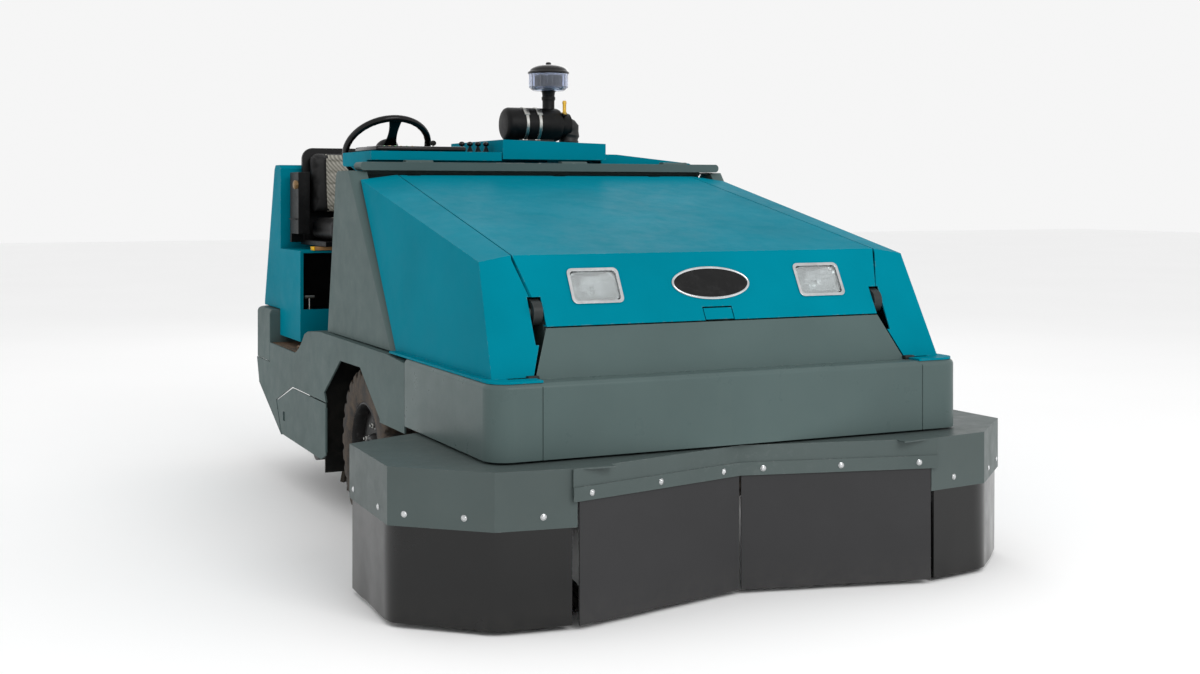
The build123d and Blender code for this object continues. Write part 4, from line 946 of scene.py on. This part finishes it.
air.make("air_canister", [black_plastic, steel, boot_rubber, black_paint, amber], "chassis",
         ("air_cleaner",), "black_plastic")

bowl = Shape()
FLUTES, BLADES, BLADE_SKEW = 24, 14, 0.5


def flute(angle, index):
    """Ribs in the bowl's outer wall."""
    return 1.3 * math.cos(angle * FLUTES) if 3 <= index <= 9 else 0


wall = [(26, 0), (60, 0), (65, 3), (70, 9), (76, 13), (76.4, 30), (76.4, 55), (76, 60),
        (77.6, 63), (77.6, 66), (74.6, 66), (73.2, 61), (73, 16), (62, 8), (26, 5)]
bowl.lathe(wall, spot(STEM_X, AIR_AT, BOWL_FOOT), UP, 144, 0, flute, loop=True)
for turn in (math.tau * blade / BLADES for blade in range(BLADES)):
    inner, outer = (spot(STEM_X + r * math.cos(angle), AIR_AT + r * math.sin(angle), 1504)
                    for r, angle in ((28, turn), (60, turn + BLADE_SKEW)))
    bowl.add([inner, outer, outer + UP * 0.047, inner + UP * 0.047], [(0, 1, 2, 3)], 1)
bowl.lathe([(10, 0), (26, 1), (26, 50), (10, 51)], spot(STEM_X, AIR_AT, 1499), UP, 40, 1)
bowl.make("dust_bowl", [bowl_clear, black_plastic], "chassis", ("precleaner_bowl",), "clear")

cap = Shape()
dome = [(0, 0), (74, 0), (80, 0), (82, 2), (82, 7), (79, 10), (76, 11.5), (74, 15), (70, 20),
        (60, 27), (48, 31.5), (34, 35), (20, 36.6), (11, 36.8), (11, 40), (9.4, 45), (6, 46.8),
        (0, 47)]
cap.lathe(dome, spot(STEM_X, AIR_AT, CAP_FOOT), UP, 72)
cap.make("rain_cap", gloss_black, "chassis", ("precleaner_cap",), "gloss_black")

# ---- seat ---------------------------------------------------------------------------------
SEAT_X, SEAT_HALF = -400, 200
VOXEL, SWELL = 0.006, 0.008    # metres: the remesh's cell, and how far the cloth may move
PRESSURE, SETTLE_FRAMES = 4.0, 20
INSERT_HALF = 0.135            # metres from the middle to the side bolsters' seams
BACK_TOP, SHOULDER = 1247, 40


def cushion(name, outline, channels, node):
    """Padded seat piece: a slightly small prism, blown up as cloth, then sewn in channels."""
    shape = Shape()
    half = SEAT_HALF * MM
    flat = [(spot(0, behind, z).y, z * MM) for behind, z in outline]
    shape.solid(flat, (SEAT_X * MM - half, 0, 0), (0, 1, 0), UP, 2 * half, 20, segments=4)
    piece = shape.make(name, [seat_vinyl, seat_insert], "seat", (node,), "vinyl")
    settle = piece.modifiers.new("voxel", "REMESH")
    settle.mode = "VOXEL"
    settle.voxel_size = VOXEL
    bake(piece)
    start = [v.co.copy() for v in piece.data.vertices]
    cloth = piece.modifiers.new("fill", "CLOTH")
    cloth.settings.use_pressure = True
    cloth.settings.uniform_pressure_force = PRESSURE
    cloth.settings.effector_weights.gravity = 0
    cloth.settings.quality = 5
    scene = bpy.context.scene
    scene.frame_start, scene.frame_end = 1, SETTLE_FRAMES
    for step in range(1, SETTLE_FRAMES + 1):
        scene.frame_set(step)
    bake(piece)
    scene.frame_set(1)
    mesh = piece.data
    for vertex, rest in zip(mesh.vertices, start):
        move = vertex.co - rest
        if move.length > SWELL:
            vertex.co = rest + move * SWELL / move.length
    mesh.update()
    normals = [v.normal.copy() for v in mesh.vertices]
    for vertex, normal in zip(mesh.vertices, normals):
        vertex.co -= normal * channels(vertex.co, normal)
    mesh.shade_smooth()
    soft = piece.modifiers.new("smooth", "SUBSURF")
    soft.levels = soft.render_levels = 1
    return piece


def bake(piece):
    """Replaces a piece's mesh with what its modifiers make."""
    graph = bpy.context.evaluated_depsgraph_get()
    made = bpy.data.meshes.new_from_object(piece.evaluated_get(graph))
    piece.modifiers.clear()
    piece.data = made


def valley(distance, width, depth):
    """Depth of a sewn groove at a distance from its line."""
    return depth * math.exp(-(distance / width) ** 2)


def round_shoulders(piece, radius, top):
    """Pulls a back pad's upper corners in to a rounded outline."""
    half = SEAT_HALF * MM
    for vertex in piece.data.vertices:
        side = vertex.co.x - SEAT_X * MM
        u = abs(side) - (half - radius)
        v = vertex.co.z - (top - radius)
        if u > 0 and v > 0:
            reach = max(u, v)
            shrink = reach / math.hypot(u, v)
            vertex.co.x = SEAT_X * MM + math.copysign(half - radius + u * shrink, side)
            vertex.co.z = top - radius + v * shrink


def insert_channels(point, reach, first, gap):
    """Side bolsters' seams, and five cross channels on the insert between them."""
    across = abs(point.x - SEAT_X * MM)
    sunk = valley(across - INSERT_HALF, 0.0045, 0.007)
    if across < INSERT_HALF:
        for line in range(5):
            sunk = max(sunk, valley(reach - (first + line * gap), 0.005, 0.005))
    return sunk


def seat_channels(point, normal):
    """Channels on the seat's top, and a seam round its side."""
    if normal.z < 0.3:
        return valley(point.z - 0.951, 0.004, 0.0025) if normal.z < 0.1 else 0
    return insert_channels(point, point.y, spot(0, 2016, 0).y, 0.056)


def back_channels(point, normal):
    """Channels on the back cushion's face."""
    return 0 if normal.y > -0.3 else insert_channels(point, point.z, 1.032, 0.044)


seat = cushion("seat_pad", [(1969, 915), (2280, 915), (2280, 984), (1969, 984)], seat_channels,
               "seat_cushion")
back = cushion("back_pad", [(2253, 1006), (2275, 1236), (2288, BACK_TOP), (2317, BACK_TOP),
                            (2296, 1006)], back_channels, "seat_back")
round_shoulders(back, SHOULDER * MM, BACK_TOP * MM)
for piece, facing in ((seat, UP), (back, Vector((0, -1, 0.1)))):
    for face in piece.data.polygons:
        inside = abs(face.center.x - SEAT_X * MM) < INSERT_HALF - 0.001
        face.material_index = 1 if inside and face.normal.dot(facing) > 0.6 else 0

# ---- small fittings -------------------------------------------------------------------------
# black moulding lining the open box under the seat, which also stands for the shade in that
# recess: partly painted shade
liner = Shape()
BOX_LOW, BOX_HIGH, LINER = (-679, 2070, 645), (-146, 2293, 866), 2
for axis, at_high in ((2, False), (1, True), (2, True), (0, False), (0, True)):
    low, high = list(BOX_LOW), list(BOX_HIGH)
    if at_high:
        low[axis] = high[axis] - LINER
    else:
        high[axis] = low[axis] + LINER
    liner.block(spot(*low), spot(*high), 0)
liner.lathe([(0, 0), (11, 0), (11, 4), (5, 6), (5, 44), (0, 44)], spot(-650, 2084, 648), UP, 28,
            1)
liner.tube([spot(-668, 2084, 697), spot(-632, 2084, 697)], 6.5, 20, 1)
liner.make("seat_box_shade_liner", [black_plastic, steel], "chassis", (), "black_plastic")

fittings = Shape()
fittings.block(spot(-640, 2056, 872), spot(-566, 2100, 885), 1.5)
fittings.block(spot(-642, 2054, 871.5), spot(-637, 2101, 885.5), 1.5, 1)
fittings.make("papers_box", [plastic("tan_box", linear(168, 128, 84), 0.6),
                             plastic("yellow_edge", linear(232, 176, 24), 0.5)], "seat", (),
              "black_plastic")


def knurled(angle, index):
    """Grip ribs round a knob."""
    return 0.8 * math.cos(angle * 8) if 3 <= index <= 6 else 0


knobs = Shape()
for x, out in ((-657, -1), (-143, 1)):
    knobs.lathe([(0, 0), (7, 0), (7, 6), (15, 8), (16.5, 12), (16.5, 19), (13, 23), (0, 24)],
                spot(x - out, 2212, 1118), (out, 0, 0), 24, 0, knurled)
    knobs.block(spot(x - 14 + out, 2214, 985), spot(x + 14 + out, 2316, 988), 1, 1)
knobs.make("armrest_knobs", [plastic("knob_bronze", linear(120, 96, 66), 0.35), black_plastic],
           "seat", (), "black_plastic")

stops = Shape()
for side in (-1, 1):
    stops.block(spot(side * 590 - 16, 58, 600), spot(side * 590 + 16, 76, 617), 2)
stops.make("ledge_stops", boot_rubber, "hopper", (), "rubber")

# ---- brushes ------------------------------------------------------------------------------
BRUSH_X, BRUSH_AT = 640, 235
TUFT_RINGS = ((100, 168, 52), (120, 205, 60), (142, 256, 72))   # root, tip, tufts
STRANDS = 5
ROLLER = spot(0, 1800, 181)
ROLLER_HALF, ROLLER_ROWS, ROW_TUFTS = 0.576, 16, 60


def side_brush(side, name):
    """Disc with rings of slanted bristle tufts."""
    shape = Shape()
    centre = spot(side * BRUSH_X, BRUSH_AT, 0)
    disc = [(14.3, 150), (140, 150), (150, 156), (150, 168), (146, 176), (60, 176), (50, 172),
            (14.3, 172)]
    shape.lathe(disc, centre, UP, 72, 1, loop=True)
    for ring, (inner, outer, count) in enumerate(TUFT_RINGS):
        for tuft in range(count):
            turn = math.tau * (tuft + 0.5 * ring) / count
            for _ in range(STRANDS):
                spread = random.uniform(-0.05, 0.05)
                far = outer + random.uniform(-12, 4)
                twist = turn + spread + 0.10
                top = centre + Vector((math.cos(turn) * inner, math.sin(turn) * inner, 152)) * MM
                foot = centre + Vector((math.cos(twist) * far, math.sin(twist) * far, 4.5)) * MM
                middle = top.lerp(foot, 0.5) - UP * 0.008
                shape.tube([top, middle, foot], lambda i: (4.2, 3.2, 1.4)[i], 4)
    shape.make(f"bristle_disc_{name}", [side_bristle, black_plastic], f"side_brush_{name}",
               (f"side_brush_{name}",), "bristle")


side_brush(1, "left")
side_brush(-1, "right")

roller = Shape()
core_profile = [(30.3, -582), (78, -582), (78, 582), (30.3, 582)]
roller.lathe(core_profile, ROLLER, ACROSS, 40, 1, loop=True)
for row in range(ROLLER_ROWS):
    for step in range(ROW_TUFTS):
        x = ROLLER_HALF * (2 * step / (ROW_TUFTS - 1) - 1)
        turn = math.tau * row / ROLLER_ROWS + 0.55 * abs(x) / 0.6
        out = Vector((0, math.cos(turn), math.sin(turn)))
        along = Vector((0, -math.sin(turn), math.cos(turn)))
        reach = 0.176 - random.random() * 0.004
        root = ROLLER + ACROSS * x + out * 0.074
        lean = random.uniform(-0.004, 0.004)
        tip = ROLLER + ACROSS * (x + lean) + (out + along * 0.04).normalized() * reach
        roller.tube([root, tip], lambda i: 7.5 if i else 5, 4, width=11)
roller.make("sweeping_roller", [main_bristle, black_plastic], "main_brush", ("main_brush",),
            "bristle")

# ---- camera, floor and light ----------------------------------------------------------------
CAMERA_AT = (-2.1132, -4.8329, 1.09)
CAMERA_TURN = -25.27           # degrees to the right of straight ahead
SENSOR, LENS = 36, 45.904
HORIZON_SHIFT = -0.1208        # the level camera sees more of the floor than of the sky
camera = bpy.data.objects.new("camera", bpy.data.cameras.new("camera"))
bpy.context.scene.collection.objects.link(camera)
camera.location = CAMERA_AT
camera.rotation_euler = (math.radians(90), 0, math.radians(CAMERA_TURN))
camera.data.sensor_width = SENSOR
camera.data.lens = LENS
camera.data.shift_y = HORIZON_SHIFT
camera.data.clip_start = 0.05
bpy.context.scene.camera = camera


def backdrop():
    """Pale plain floor."""
    look = Look("studio_floor")
    soft = look.noise(0.6, 2)
    base = look.blend(soft, (0.92, 0.92, 0.92, 1), (0.95, 0.95, 0.95, 1))
    return look.done(base, look.span(soft, 0, 1, 0.85, 0.95))


FLOOR = 30                     # metres each way
ground = bpy.data.meshes.new("studio_floor")
ground.from_pydata([(-FLOOR, -FLOOR, 0), (FLOOR, -FLOOR, 0), (FLOOR, FLOOR, 0),
                    (-FLOOR, FLOOR, 0)], [], [(0, 1, 2, 3)])
ground.materials.append(backdrop())
floor = bpy.data.objects.new("studio_floor", ground)
bpy.context.scene.collection.objects.link(floor)


def softbox(name, place, target, size, power):
    """Area light aimed at a point."""
    lamp = bpy.data.lights.new(name, "AREA")
    lamp.shape = "RECTANGLE"
    lamp.size, lamp.size_y = size
    lamp.energy = power
    light = bpy.data.objects.new(name, lamp)
    light.location = place
    aim = Vector(target) - Vector(place)
    light.rotation_euler = aim.to_track_quat("-Z", "Y").to_euler()
    bpy.context.scene.collection.objects.link(light)


LIGHTS = (                     # name, place, target, size, watts
    ("key", (0.6, -6.5, 4.2), (0, -0.5, 0.6), (3.5, 2.5), 160),
    ("top", (0.4, 0.2, 6.0), (0, 0, 0.5), (5, 5), 12),
    ("side", (-6.0, 1.2, 2.6), (-0.6, 0, 0.6), (2.5, 3.5), 20),
    ("fill", (4.6, -4.5, 2.2), (0.3, -0.6, 0.6), (3, 3), 20),
    ("rim", (2.5, 6, 3.5), (0, 0.6, 0.9), (3, 3), 30),
)
for light in LIGHTS:
    softbox(*light)

SKY_LIGHT = 0.92
world = bpy.data.worlds.new("studio")
world.use_nodes = True
sky = world.node_tree.nodes["Background"].inputs
sky["Color"].default_value = (1, 1, 1, 1)
sky["Strength"].default_value = SKY_LIGHT
bpy.context.scene.world = world
bpy.context.scene.view_settings.view_transform = "Standard"
